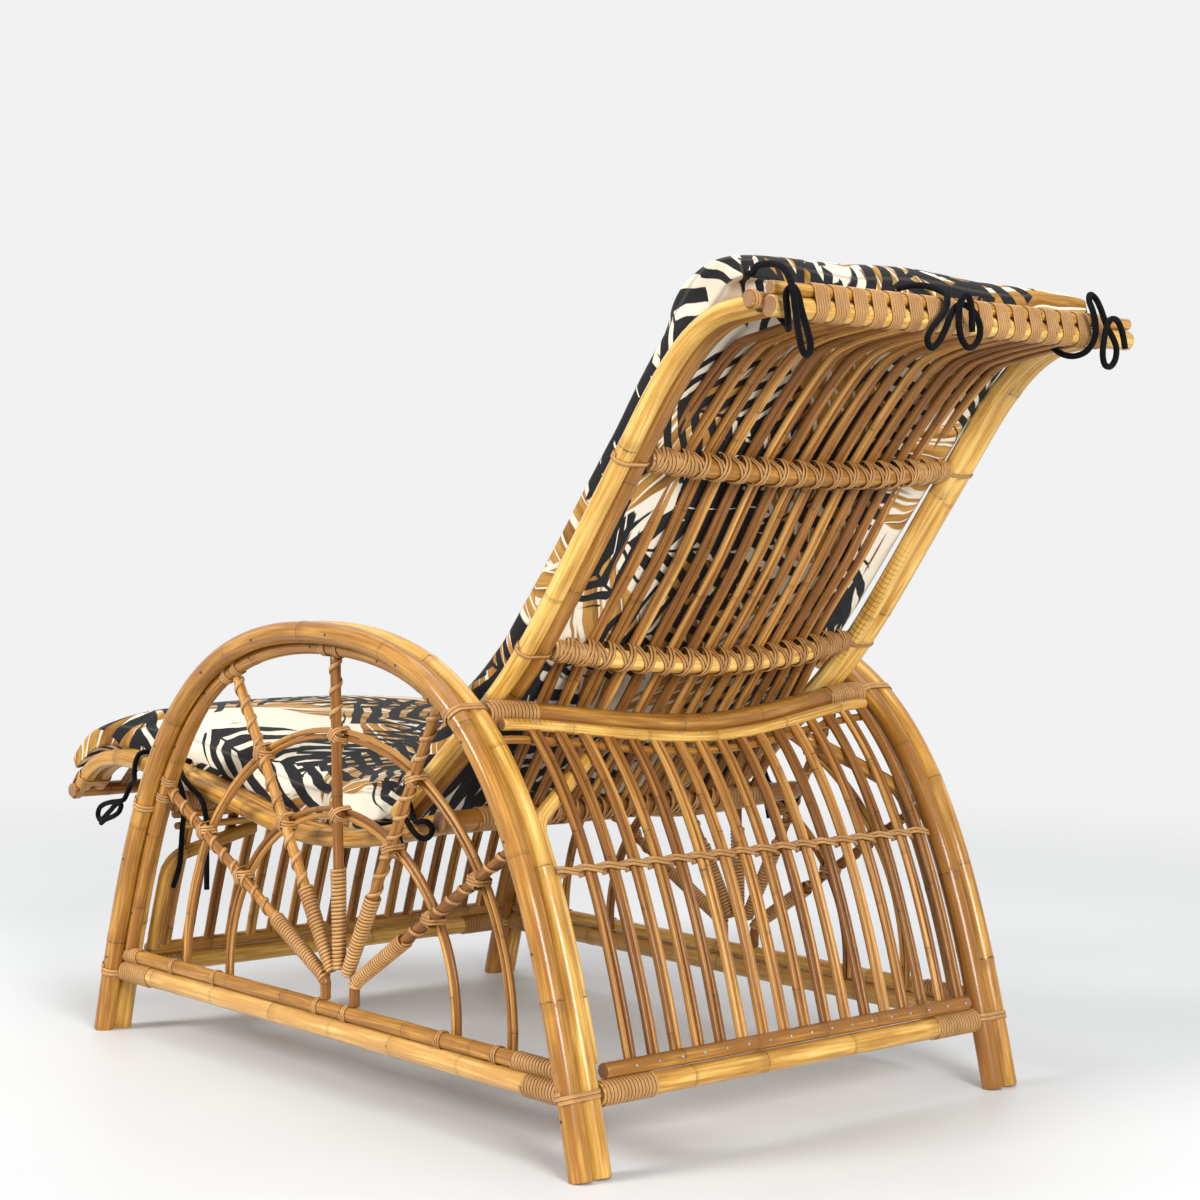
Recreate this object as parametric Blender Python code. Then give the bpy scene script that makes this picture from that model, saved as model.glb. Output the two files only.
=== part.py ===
"""Rattan lounge chair with one long pad cushion tied to it.

Two arched side frames carry a seat and a back that are bent from poles and filled with pairs of
thin rods. Under the seat a front and a back panel join the arches. Nothing on the chair moves.

Sizes are in metres. The front is -Y, the sitter's left is +X, and the feet stand on z = 0. Shapes
that lie in the chair's side view are written as (y, z), with y = 0 midway between front and back.
"""
import math

import bmesh
import bpy
from mathutils import Vector

# Fits
TOUCH = 0.0003            # gap between two pieces that touch
CHORD_SLACK = 0.0004      # more gap where two bent pieces cross between their points
WELD = 0.00001

# Bent poles are runs of short straight pieces
POLE_TURN = math.radians(10)
POLE_STEP = 0.09
CORNER_SPACE = 0.004

# Arched side frames
ARCH_RADIUS = 0.0123
ARCH_OUTER_X = 0.328
FOOT_Y = 0.4555
LEG_LEAN = math.radians(13.6)
LEG_PULL = 0.36
CROWN_PULL = 0.285
CROWN_HEIGHT = 0.519
FOOT_TRIM = 0.02
LINER_RADIUS = 0.0085
LOWER_RAIL_RADIUS = 0.012
LOWER_RAIL_HEIGHT = 0.078
UPPER_RAIL_RADIUS = 0.0085

# Sunburst in each side frame
SPOKE_RADIUS = 0.006
SPOKE_COUNT = 5
SPOKE_MIDDLE = math.radians(92.3)
SPOKE_STEP = math.radians(29.45)
HUB = Vector((0.030, 0.116))
HUB_RADIUS = 0.029
STEM_SPREAD = 0.0275
STEM_BEND = 0.010
RING_CENTRE = Vector((0.010, 0.110))
RING_CANE_RADIUS = 0.0033
RING_CANE_GAP = 0.0006
RING_FOOT_HEIGHT = 0.0915
RING_STEPS = 15
RING_RISE = 0.955          # a ring's height over its centre, next to half its width
LARGE_RING_RADIUS = 0.3095
SMALL_RING_RADIUS = 0.2170

# Seat and back, side view
SEAT_RADIUS = 0.0110
SEAT_OUTER_X = 0.262
SEAT_LINE = [(-0.627, 0.288), (-0.600, 0.314), (-0.560, 0.329), (-0.500, 0.332), (-0.371, 0.319),
             (-0.159, 0.282), (-0.056, 0.279), (0.031, 0.290), (0.147, 0.317)]
BACK_RADIUS = 0.0105
BACK_LINE = [(0.047, 0.303), (0.158, 0.395), (0.274, 0.501), (0.406, 0.678), (0.489, 0.790),
             (0.550, 0.840), (0.6155, 0.853)]
SCROLL_RAIL_RADIUS = 0.0095
JUNCTION_RADIUS = 0.0115
SCROLL_OVERHANG = 0.002
JUNCTION_OVERHANG = 0.004
CROSS_RADIUS = 0.0105
LOWER_CROSS_Y = 0.283
LOWER_CROSS_BOW = 0.032
UPPER_CROSS_Y = 0.429
UPPER_CROSS_BOW = 0.022

# Top rail: a front pole, a thick pole behind it and a thin pole on top of that
TOP_FRONT_RADIUS = 0.0080
TOP_REAR_RADIUS = 0.0105
TOP_THIN_RADIUS = 0.0065
TOP_REAR_DROP = math.radians(20)
TOP_FRONT_OVERHANG = 0.012
TOP_REAR_OVERHANG = 0.002

# Rods
ROD_RADIUS = 0.0036
ROD_PAIR_GAP = 0.0005
BACK_PAIRS = 16
BACK_PAIR_SPAN = 0.400
ROD_DIP = 0.002
ROD_CURL_START = 0.115    # from the back's end, where a rod leaves the back to curl under the rail
ROD_CURL_STEP = 0.055
ROD_CURL_DROP = 0.014
ROD_UNDER_POLE = (-0.024, -0.0085)
ROD_IN_POLE = (-0.003, -0.006)
DECK_PAIRS = 10
DECK_DROP = 0.002
DECK_MARGIN = 0.030       # from the seat's inner rail to the first pair of rods
PANEL_PAIRS = 17
FRONT_PAIR_MARGIN = 0.0345         # from the arches to the outermost pairs of a panel
REAR_PAIR_MARGIN_LEFT = 0.0505
REAR_PAIR_MARGIN_RIGHT = 0.0185

# Front and back panels
PANEL_RAIL_RADIUS = 0.012
REAR_SAG = 0.033
SAG_FULLNESS = 0.75
SAG_STEEPENING = 1.15      # the fuller curve's steepest slope, next to a plain cosine's
SAG_STRAIGHT_END = 0.016
SAG_STEPS = 12
TOP_STRIP_RADIUS = 0.007
BOTTOM_STRIP_RADIUS = 0.0085
BRACE_RADIUS = 0.0085
BRACE_BEND = 0.030
REAR_BRACE_BEND_HEIGHT = 0.342
FRONT_BRACE_BEND_HEIGHT = 0.225
BRACE_TOP_X = 0.165
BRACE_TOP_DROP = 0.020

# Cushion
CUSHION_HALF_WIDTH = 0.266
CUSHION_EDGE = 0.036
CUSHION_CROWN = 0.054
CUSHION_END_EDGE = 0.022
CUSHION_FRONT_TAPER = 0.30
CUSHION_TOP_TAPER = 0.14
CUSHION_SIDE_PULL = 0.006
CUSHION_WAIST = 0.012
CUSHION_END_PULL = 0.014
CUSHION_SEAT_LIFT = 0.0008
CUSHION_BACK_LIFT = 0.0040
CUSHION_TOP_SETBACK = 0.0116    # from the back line's end, along it
CUSHION_FRONT_REACH = 0.0015
CUSHION_BEND_Y = (-0.01, 0.13)
CUSHION_BEND_PULL = 0.4
CUSHION_BEND_STEPS = 5
CUSHION_END_STOPS = (0.02, 0.05, 0.95, 0.98)
CUSHION_UNDER_SHARE = 0.45
CUSHION_TOP_SHARES = (0.9, 0.62, 0.3)
CUSHION_CROWN_POWER = 2.4
CUSHION_WAIST_SHARE = 0.25
CUSHION_WAIST_POWER = 0.6
CUSHION_TAPER_POWER = 0.5
CUSHION_PULL_SHARE = 0.12

# Cane binding of the top rail, once round it between the rod pairs
BINDING_RADIUS = 0.0016
BINDING_GAP = 0.0005
BINDING_DRIFT = 0.0030
VALLEY_SHARE = 0.535
THIN_ARC = (150, 30, 2)    # first and last angle in degrees, and the steps between them
REAR_ARC = (0, -110, 2)
FRONT_ARC = (-135, -300, 3)
ONE_TURN = 0.012           # loops are compared past this length along the cane

# Tie cords, each route from where it leaves the cushion to its far end: (x, y, z)
CORD_RADIUS = 0.0033
CORD_TURN = math.radians(20)
CORD_STEP = 0.016
TIE_TOP_LEFT = [
    (0.2262, 0.5957, 0.8645), (0.2262, 0.5965, 0.8584), (0.2263, 0.6000, 0.8515),
    (0.2265, 0.6060, 0.8450),
    (0.2277, 0.6135, 0.8390), (0.2310, 0.6225, 0.8335), (0.2395, 0.6325, 0.8295),
    (0.2500, 0.6425, 0.8285), (0.2595, 0.6515, 0.8320), (0.2665, 0.6575, 0.8395),
    (0.2715, 0.6605, 0.8495), (0.2745, 0.6630, 0.8590), (0.2705, 0.6670, 0.8640),
    (0.2655, 0.6690, 0.8570), (0.2600, 0.6690, 0.8420), (0.2525, 0.6690, 0.8260),
    (0.2475, 0.6690, 0.8120), (0.2510, 0.6690, 0.8030), (0.2585, 0.6695, 0.8060),
    (0.2645, 0.6705, 0.8190), (0.2705, 0.6725, 0.8350), (0.2750, 0.6740, 0.8490),
    (0.2775, 0.6735, 0.8610), (0.2775, 0.6690, 0.8720), (0.2765, 0.6600, 0.8815),
    (0.2745, 0.6480, 0.8855), (0.2730, 0.6350, 0.8870), (0.2700, 0.6230, 0.8870),
    (0.2660, 0.6135, 0.8850), (0.2616, 0.6066, 0.8818), (0.2613, 0.6003, 0.8806)]
TIE_TOP_MIDDLE = [
    (0.0353, 0.5876, 0.8845), (0.0354, 0.5941, 0.8856), (0.0360, 0.6090, 0.8865),
    (0.0360, 0.6240, 0.8850),
    (0.0365, 0.6400, 0.8805), (0.0395, 0.6540, 0.8745), (0.0445, 0.6600, 0.8670),
    (0.0490, 0.6620, 0.8590), (0.0570, 0.6650, 0.8530), (0.0690, 0.6682, 0.8450),
    (0.0810, 0.6705, 0.8360), (0.0870, 0.6718, 0.8260), (0.0810, 0.6723, 0.8190),
    (0.0690, 0.6713, 0.8260), (0.0590, 0.6703, 0.8380), (0.0515, 0.6698, 0.8505),
    (0.0440, 0.6703, 0.8610), (0.0340, 0.6715, 0.8640), (0.0210, 0.6725, 0.8590),
    (0.0120, 0.6735, 0.8480), (0.0110, 0.6740, 0.8350), (0.0190, 0.6745, 0.8250),
    (0.0310, 0.6759, 0.8220), (0.0410, 0.6764, 0.8290), (0.0460, 0.6769, 0.8410),
    (0.0480, 0.6779, 0.8540), (0.0470, 0.6794, 0.8660), (0.0405, 0.6809, 0.8720),
    (0.0345, 0.6814, 0.8650), (0.0320, 0.6809, 0.8510), (0.0300, 0.6799, 0.8370)]
TIE_TOP_RIGHT = [
    (-0.1876, 0.5969, 0.8735), (-0.1874, 0.6025, 0.8735), (-0.1871, 0.6050, 0.8670),
    (-0.1870, 0.6055, 0.8560), (-0.1870, 0.6060, 0.8460), (-0.1870, 0.6100, 0.8385),
    (-0.1873, 0.6185, 0.8320), (-0.1880, 0.6290, 0.8280),
    (-0.1890, 0.6400, 0.8275), (-0.1900, 0.6515, 0.8315), (-0.1912, 0.6590, 0.8405),
    (-0.1918, 0.6620, 0.8510), (-0.1895, 0.6630, 0.8620), (-0.1850, 0.6630, 0.8730),
    (-0.1825, 0.6600, 0.8835), (-0.1880, 0.6570, 0.8905), (-0.1950, 0.6590, 0.8865),
    (-0.1970, 0.6640, 0.8760), (-0.1975, 0.6685, 0.8650), (-0.2020, 0.6695, 0.8560),
    (-0.2110, 0.6695, 0.8470), (-0.2180, 0.6695, 0.8360), (-0.2165, 0.6695, 0.8240),
    (-0.2080, 0.6695, 0.8160), (-0.1975, 0.6700, 0.8180), (-0.1920, 0.6715, 0.8290),
    (-0.1910, 0.6735, 0.8420), (-0.1920, 0.6755, 0.8550), (-0.1965, 0.6775, 0.8640),
    (-0.2050, 0.6785, 0.8640), (-0.2130, 0.6780, 0.8570), (-0.2195, 0.6770, 0.8470),
    (-0.2250, 0.6755, 0.8360)]
TIE_JUNCTION = [
    (0.2527, 0.0950, 0.3665), (0.2590, 0.0936, 0.3680), (0.2665, 0.0935, 0.3665),
    (0.2735, 0.0955, 0.3590), (0.2775, 0.1010, 0.3470), (0.2780, 0.1080, 0.3330),
    (0.2790, 0.1150, 0.3215),
    (0.2810, 0.1240, 0.3170), (0.2825, 0.1350, 0.3190), (0.2835, 0.1470, 0.3190),
    (0.2840, 0.1560, 0.3130), (0.2850, 0.1530, 0.3050), (0.2855, 0.1430, 0.3010),
    (0.2855, 0.1320, 0.3030), (0.2860, 0.1220, 0.3095), (0.2865, 0.1130, 0.3180),
    (0.2870, 0.1040, 0.3230), (0.2875, 0.0975, 0.3170), (0.2870, 0.0985, 0.3050),
    (0.2865, 0.1030, 0.2920), (0.2860, 0.1070, 0.2790)]
TIE_FRONT_LEFT = [
    (0.2548, -0.4660, 0.3426), (0.2607, -0.4657, 0.3447), (0.2672, -0.4660, 0.3450),
    (0.2730, -0.4670, 0.3420), (0.2768, -0.4685, 0.3335), (0.2772, -0.4710, 0.3225),
    (0.2740, -0.4760, 0.3135), (0.2685, -0.4850, 0.3085), (0.2630, -0.4960, 0.3050),
    (0.2600, -0.5070, 0.3000), (0.2592, -0.5145, 0.2930), (0.2600, -0.5190, 0.2850),
    (0.2612, -0.5240, 0.2785), (0.2620, -0.5340, 0.2755), (0.2620, -0.5460, 0.2738),
    (0.2615, -0.5600, 0.2712), (0.2610, -0.5740, 0.2675), (0.2605, -0.5860, 0.2615),
    (0.2605, -0.5900, 0.2525), (0.2615, -0.5830, 0.2465), (0.2635, -0.5710, 0.2500),
    (0.2660, -0.5570, 0.2570), (0.2685, -0.5430, 0.2640), (0.2705, -0.5300, 0.2710),
    (0.2715, -0.5180, 0.2760), (0.2735, -0.5095, 0.2730), (0.2750, -0.5120, 0.2650),
    (0.2755, -0.5220, 0.2590), (0.2755, -0.5340, 0.2550), (0.2755, -0.5460, 0.2510),
    (0.2750, -0.5570, 0.2455)]
TAIL_FRONT = [
    (0.2520, -0.3911, 0.3404), (0.2583, -0.3908, 0.3424), (0.2650, -0.3895, 0.3425),
    (0.2710, -0.3855, 0.3400), (0.2757, -0.3785, 0.3345), (0.2790, -0.3695, 0.3275),
    (0.2815, -0.3595, 0.3195), (0.2828, -0.3505, 0.3100), (0.2832, -0.3447, 0.2990),
    (0.2830, -0.3435, 0.2880), (0.2815, -0.3465, 0.2770), (0.2795, -0.3515, 0.2665),
    (0.2787, -0.3545, 0.2550), (0.2785, -0.3562, 0.2430), (0.2785, -0.3568, 0.2310),
    (0.2785, -0.3585, 0.2190), (0.2785, -0.3625, 0.2070), (0.2785, -0.3682, 0.1960),
    (0.2785, -0.3745, 0.1850)]
TAIL_REAR = [
    (0.2518, -0.3786, 0.3393), (0.2581, -0.3783, 0.3414), (0.2645, -0.3765, 0.3412),
    (0.2700, -0.3725, 0.3385), (0.2750, -0.3660, 0.3335), (0.2780, -0.3575, 0.3270),
    (0.2788, -0.3480, 0.3200), (0.2788, -0.3370, 0.3140), (0.2788, -0.3250, 0.3090),
    (0.2788, -0.3140, 0.3030), (0.2788, -0.3060, 0.2940), (0.2788, -0.3015, 0.2830),
    (0.2788, -0.2992, 0.2710), (0.2788, -0.2985, 0.2590), (0.2788, -0.2982, 0.2470),
    (0.2788, -0.2980, 0.2340), (0.2788, -0.2978, 0.2210), (0.2788, -0.2976, 0.2060),
    (0.2788, -0.2974, 0.1910)]

ROUND = 2
SQUARE = 0


def empty_scene():
    for leftover in list(bpy.data.objects):
        bpy.data.objects.remove(leftover)


def new_collection(name):
    collection = bpy.data.collections.new(name)
    bpy.context.scene.collection.children.link(collection)
    return collection


def finish(name, colour, roughness):
    look = bpy.data.materials.new(name)
    look.use_nodes = True
    shader = look.node_tree.nodes['Principled BSDF']
    shader.inputs['Base Color'].default_value = (*colour, 1.0)
    shader.inputs['Roughness'].default_value = roughness
    shader.inputs['Metallic'].default_value = 0.0
    return look


empty_scene()
CHAIR = new_collection('Lounge chair')
HELPERS = new_collection('Joined shapes')
POLE_LOOK = finish('Lacquered pole', (0.60, 0.33, 0.09), 0.35)
ROD_LOOK = finish('Rattan rod', (0.42, 0.21, 0.07), 0.45)
CANE_LOOK = finish('Cane winding', (0.50, 0.28, 0.12), 0.5)
CLOTH_LOOK = finish('Printed cotton', (0.80, 0.74, 0.58), 0.9)
CORD_LOOK = finish('Black cord', (0.012, 0.012, 0.014), 0.85)


# Curves in the side view

def bezier(a, b, c, d, t):
    return a * (1 - t) ** 3 + b * 3 * t * (1 - t) ** 2 + c * 3 * t * t * (1 - t) + d * t ** 3


def smooth_through(points, steps):
    """A Catmull-Rom curve through the points, with a number of steps between neighbours."""
    knots = [Vector(p) for p in points]
    knots = [2 * knots[0] - knots[1]] + knots + [2 * knots[-1] - knots[-2]]
    curve = []
    for before, start, end, after in zip(knots, knots[1:], knots[2:], knots[3:]):
        for step in range(steps):
            t = step / steps
            leave = (end - before) / 6
            arrive = (after - start) / 6
            curve.append(bezier(start, start + leave, end - arrive, end, t))
    curve.append(knots[-2])
    return curve


def thinned(points, turn, longest):
    """Fewer points: one wherever the line has turned or run far enough since the last."""
    kept = [points[0]]
    facing = points[1] - points[0]
    for point, following in zip(points[1:], points[2:]):
        if facing.angle(following - point) > turn or (point - kept[-1]).length > longest:
            kept.append(point)
            facing = following - point
    kept.append(points[-1])
    return kept


class SideCurve:
    """A run of short straight pieces in the side view, measured along its length.

    A lift moves a point to the left of the run, square to the pieces on both of its sides.
    """

    def __init__(self, points):
        self.points = [Vector(p) for p in points]
        runs = [(end - start).normalized() for start, end in zip(self.points, self.points[1:])]
        self.marks = [0.0]
        for start, end in zip(self.points, self.points[1:]):
            self.marks.append(self.marks[-1] + (end - start).length)
        self.length = self.marks[-1]
        self.corners = []
        for before, after in zip([runs[0]] + runs, runs + [runs[-1]]):
            facing = (before + after).normalized()
            self.corners.append(Vector((-facing.y, facing.x)) / facing.dot(after))

    def span(self, s):
        for index in range(len(self.points) - 2):
            if s <= self.marks[index + 1]:
                return index
        return len(self.points) - 2

    def run(self, s):
        index = self.span(s)
        return (self.points[index + 1] - self.points[index]).normalized()

    def at(self, s, lift=0.0):
        index = self.span(s)
        share = (s - self.marks[index]) / (self.marks[index + 1] - self.marks[index])
        spot = self.points[index].lerp(self.points[index + 1], share)
        near = min(1.0, max(0.0, share))
        return spot + self.corners[index].lerp(self.corners[index + 1], near) * lift

    def stops(self, start, end):
        """Both lengths and every corner between them."""
        between = [mark for mark in self.marks if start + CORNER_SPACE < mark < end - CORNER_SPACE]
        return [start] + between + [end]

    def height_over(self, point):
        """Distance of a point from the curve, positive to its left."""
        nearest = math.inf
        for start, end in zip(self.points, self.points[1:]):
            along = end - start
            share = (point - start).dot(along) / along.length_squared
            away = point - (start + along * min(1.0, max(0.0, share)))
            if away.length < abs(nearest):
                side = along.x * (point - start).y - along.y * (point - start).x
                nearest = math.copysign(away.length, side)
        return nearest


def where(test, low, high):
    """The value in low..high at which test changes sign."""
    rising = test(high) > 0
    for _ in range(40):
        middle = (low + high) / 2
        if (test(middle) > 0) == rising:
            high = middle
        else:
            low = middle
    return (low + high) / 2


def across(x, flat):
    return Vector((x, flat.x, flat.y))


def rounded(points, radius, steps=4):
    """The points joined by straight runs, with each inner corner turned into an arc."""
    path = [points[0]]
    for before, corner, after in zip(points, points[1:], points[2:]):
        back = (before - corner).normalized()
        on = (after - corner).normalized()
        half = back.angle(on) / 2
        reach = radius / math.tan(half)
        centre = corner + (back + on).normalized() * radius / math.sin(half)
        first = corner + back * reach - centre
        last = corner + on * reach - centre
        for step in range(steps + 1):
            path.append(centre + turned(first, last, step / steps))
    path.append(points[-1])
    return path


def turned(first, last, share):
    """The first arm turned a share of the way to the last one."""
    turn = math.atan2(first.x * last.y - first.y * last.x, first.dot(last)) * share
    return Vector((first.x * math.cos(turn) - first.y * math.sin(turn),
                   first.x * math.sin(turn) + first.y * math.cos(turn)))


# Solids

def tubes(name, paths, radius, look, sides=ROUND, collection=None):
    """One curve object with a round pole along each path, its ends capped."""
    curve = bpy.data.curves.new(name, 'CURVE')
    curve.dimensions = '3D'
    curve.bevel_depth = radius
    curve.bevel_resolution = sides
    curve.use_fill_caps = True
    curve.materials.append(look)
    for path in paths:
        spline = curve.splines.new('POLY')
        spline.points.add(len(path) - 1)
        spline.use_smooth = True
        for knot, place in zip(spline.points, path):
            knot.co = (*place, 1.0)
    piece = bpy.data.objects.new(name, curve)
    (collection or CHAIR).objects.link(piece)
    return piece


def pole(name, path, radius, look, sides=ROUND):
    return tubes(name, [path], radius, look, sides)


def as_mesh(piece):
    """The curve object as a mesh object, with its caps welded on."""
    graph = bpy.context.evaluated_depsgraph_get()
    mesh = bpy.data.meshes.new_from_object(piece.evaluated_get(graph))
    shape = bmesh.new()
    shape.from_mesh(mesh)
    bmesh.ops.remove_doubles(shape, verts=shape.verts, dist=WELD)
    shape.to_mesh(mesh)
    shape.free()
    name = piece.name
    collection = piece.users_collection[0]
    solid = bpy.data.objects.new(name, mesh)
    solid.matrix_world = piece.matrix_world
    bpy.data.objects.remove(piece)
    solid.name = name
    collection.objects.link(solid)
    return solid


def join(base, helper):
    """Add the helper's shape to the base solid; the helper itself is left out of the chair."""
    helper.hide_render = True
    helper.display_type = 'WIRE'
    union = base.modifiers.new('Join ' + helper.name, 'BOOLEAN')
    union.operation = 'UNION'
    union.solver = 'EXACT'
    union.object = helper


def cut_at_floor(piece):
    shape = bmesh.new()
    shape.from_mesh(piece.data)
    geometry = shape.verts[:] + shape.edges[:] + shape.faces[:]
    bmesh.ops.bisect_plane(shape, geom=geometry, plane_co=(0, 0, 0), plane_no=(0, 0, -1),
                           clear_outer=True)
    open_edges = [edge for edge in shape.edges if edge.is_boundary]
    bmesh.ops.holes_fill(shape, edges=open_edges, sides=0)
    shape.to_mesh(piece.data)
    shape.free()


# The arch, from its crown down to the back foot; the front half mirrors it

ARCH_INNER_X = ARCH_OUTER_X - 2 * ARCH_RADIUS - TOUCH
SIDE_X = (ARCH_OUTER_X + ARCH_INNER_X) / 2
INNER_FACE_X = ARCH_INNER_X - ARCH_RADIUS - TOUCH
FACET = math.pi / 8       # half the turn between two faces of an eight-sided pole
LINER_INSET = ((ARCH_RADIUS + LINER_RADIUS) + TOUCH / math.cos(FACET)
               - (ARCH_OUTER_X - SIDE_X) * math.tan(FACET))


def arch_curve():
    """From the front foot over the crown to the back foot, and a little below the floor."""
    crown = Vector((0.0, CROWN_HEIGHT))
    foot = Vector((FOOT_Y, 0.0))
    shoulder = crown + Vector((CROWN_PULL, 0.0))
    leg = Vector((-math.sin(LEG_LEAN), math.cos(LEG_LEAN)))
    knee = foot + LEG_PULL * leg
    steps = 240
    half = [bezier(crown, shoulder, knee, foot, i / steps) for i in range(steps + 1)]
    half = thinned(half, POLE_TURN, POLE_STEP) + [foot - FOOT_TRIM * leg]
    mirrored = [Vector((-point.x, point.y)) for point in reversed(half[1:])]
    return SideCurve(mirrored + half)


ARCH = arch_curve()
ARCH_HALF = ARCH.length / 2


def arch_at(s, inset=0.0):
    """A point of the arch at length s from the crown, to the back if s > 0; inset goes inside."""
    return ARCH.at(ARCH_HALF + s, -inset)


def arch_down_to(height):
    return where(lambda s: arch_at(s).y - height, 0.0, ARCH_HALF)


def arch_stops(start, end):
    return [s - ARCH_HALF for s in ARCH.stops(ARCH_HALF + start, ARCH_HALF + end)]


LEG_SLOPE = math.cos(LEG_LEAN)
LOWER_RAIL_S = arch_down_to(LOWER_RAIL_HEIGHT)
UPPER_RAIL_HEIGHT = LOWER_RAIL_HEIGHT + LOWER_RAIL_RADIUS + UPPER_RAIL_RADIUS + TOUCH


def leg_recess(away):
    """How far a pole's face falls back at a distance from the ridge in its middle."""
    corner = ARCH_RADIUS * math.sin(2 * FACET)
    recess = min(away, corner) * math.tan(FACET)
    return recess + max(0.0, away - corner) * math.tan(3 * FACET)


def side_rail_reach(height, radius):
    """How far a side rail runs from the middle, into the valley between the two leg poles."""
    limits = []
    for corner in range(5):
        out = radius * math.sin(2 * FACET * corner)
        up = radius * math.cos(2 * FACET * corner)
        ridge = arch_at(arch_down_to(height + up)).x - ARCH_RADIUS / LEG_SLOPE
        limits.append(ridge + leg_recess(ARCH_OUTER_X - SIDE_X - out) / LEG_SLOPE)
    return min(limits) - 2 * TOUCH


def build_arches(side, sign):
    stops = arch_stops(-ARCH_HALF, ARCH_HALF)
    for name, x in (('outer', ARCH_OUTER_X), ('inner', ARCH_INNER_X)):
        path = [across(sign * x, arch_at(s)) for s in stops]
        arch = as_mesh(pole(f'{side}_arch_{name}', path, ARCH_RADIUS, POLE_LOOK))
        cut_at_floor(arch)


def liner_end():
    """Length down the arch at which the liner's cut end stands on the upper side rail."""
    rail_top = UPPER_RAIL_HEIGHT + UPPER_RAIL_RADIUS + TOUCH

    def clearance(s):
        low_corner = LINER_RADIUS * abs(ARCH.run(ARCH_HALF + s).x)
        return arch_at(s, LINER_INSET).y - low_corner - rail_top
    return where(clearance, 0.0, ARCH_HALF)


LINER_END = liner_end()
LINER = SideCurve([arch_at(s, LINER_INSET) for s in arch_stops(-LINER_END, LINER_END)])


def build_liner(side, sign):
    path = [across(sign * SIDE_X, flat) for flat in LINER.points]
    pole(f'{side}_arch_liner', path, LINER_RADIUS, POLE_LOOK)


def build_side_rails(side, sign):
    for name, height, radius in (('lower', LOWER_RAIL_HEIGHT, LOWER_RAIL_RADIUS),
                                 ('upper', UPPER_RAIL_HEIGHT, UPPER_RAIL_RADIUS)):
        reach = side_rail_reach(height, radius)
        ends = [Vector((sign * SIDE_X, y, height)) for y in (-reach, reach)]
        pole(f'{side}_side_rail_{name}', ends, radius, POLE_LOOK)


# Sunburst

RING_X = SIDE_X - UPPER_RAIL_RADIUS - RING_CANE_RADIUS - TOUCH
SPOKE_X = RING_X + RING_CANE_RADIUS + SPOKE_RADIUS + TOUCH
STEM_FOOT = UPPER_RAIL_HEIGHT + UPPER_RAIL_RADIUS + TOUCH


def ray(angle):
    return Vector((math.cos(angle), math.sin(angle)))


def spoke_reach(angle):
    """How far from the hub a spoke ends, against the liner under the arch."""
    def past(s):
        to_liner = LINER.at(s) - HUB
        return math.atan2(to_liner.y, to_liner.x) - angle
    s = where(past, LINER.length * 0.1, LINER.length * 0.9)
    run = LINER.run(s)
    square = abs(run.x * ray(angle).y - run.y * ray(angle).x)
    skew = math.sqrt(1 - square * square)
    pull = (LINER_RADIUS + TOUCH + SPOKE_RADIUS * skew) / square
    return (LINER.at(s) - HUB).length - pull


def build_spokes(side, sign):
    for number in range(SPOKE_COUNT):
        angle = SPOKE_MIDDLE + (SPOKE_COUNT // 2 - number) * SPOKE_STEP
        top = HUB + ray(angle) * spoke_reach(angle)
        if number in (0, SPOKE_COUNT - 1):
            knee = HUB + ray(angle) * STEM_SPREAD / abs(math.cos(angle))
            line = rounded([top, knee, Vector((knee.x, STEM_FOOT))], STEM_BEND, 3)
        else:
            line = [top, HUB + ray(angle) * HUB_RADIUS]
        path = [across(sign * SPOKE_X, flat) for flat in line]
        pole(f'{side}_spoke_{number + 1}', path, SPOKE_RADIUS, ROD_LOOK)


def ring_arc(x, radius, offset):
    """Up from the upper rail, over in a flattened half circle and down to the rail again."""
    wide = radius + offset
    tall = radius * RING_RISE + offset
    turns = [ray(math.pi * (1 - i / RING_STEPS)) for i in range(RING_STEPS + 1)]
    arc = [RING_CENTRE + Vector((wide * turn.x, tall * turn.y)) for turn in turns]
    foot_height = RING_FOOT_HEIGHT + RING_CANE_RADIUS
    feet = [Vector((flat.x, foot_height)) for flat in (arc[0], arc[-1])]
    return [across(x, flat) for flat in [feet[0]] + arc + [feet[1]]]


def build_ring(side, sign, name, radius):
    """One cane over and back again, doubled at its rear foot."""
    offset = RING_CANE_RADIUS + RING_CANE_GAP / 2
    outer = ring_arc(sign * RING_X, radius, offset)
    inner = ring_arc(sign * RING_X, radius, -offset)
    pole(f'{side}_ring_{name}', outer + inner[::-1], RING_CANE_RADIUS, CANE_LOOK, SQUARE)


# Seat and back lines

SEAT = SideCurve(thinned(smooth_through(SEAT_LINE, 12), POLE_TURN, POLE_STEP))
BACK = SideCurve(thinned(smooth_through(BACK_LINE, 12), POLE_TURN, POLE_STEP))
SEAT_INNER_X = SEAT_OUTER_X - 2 * SEAT_RADIUS - TOUCH
BACK_INNER_X = SEAT_OUTER_X - 2 * BACK_RADIUS - TOUCH
JUNCTION = SEAT.at(SEAT.length + JUNCTION_RADIUS + TOUCH)
SCROLL_RAIL = SEAT.at(-SCROLL_RAIL_RADIUS - TOUCH)


def back_start():
    """Where the cut lower end of a back rail stands on the seat rail."""
    def clearance(s):
        low_corner = BACK.at(s, -BACK_RADIUS)
        return SEAT.height_over(low_corner) - SEAT_RADIUS - TOUCH
    return where(clearance, 0.0, BACK.length / 4)


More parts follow.
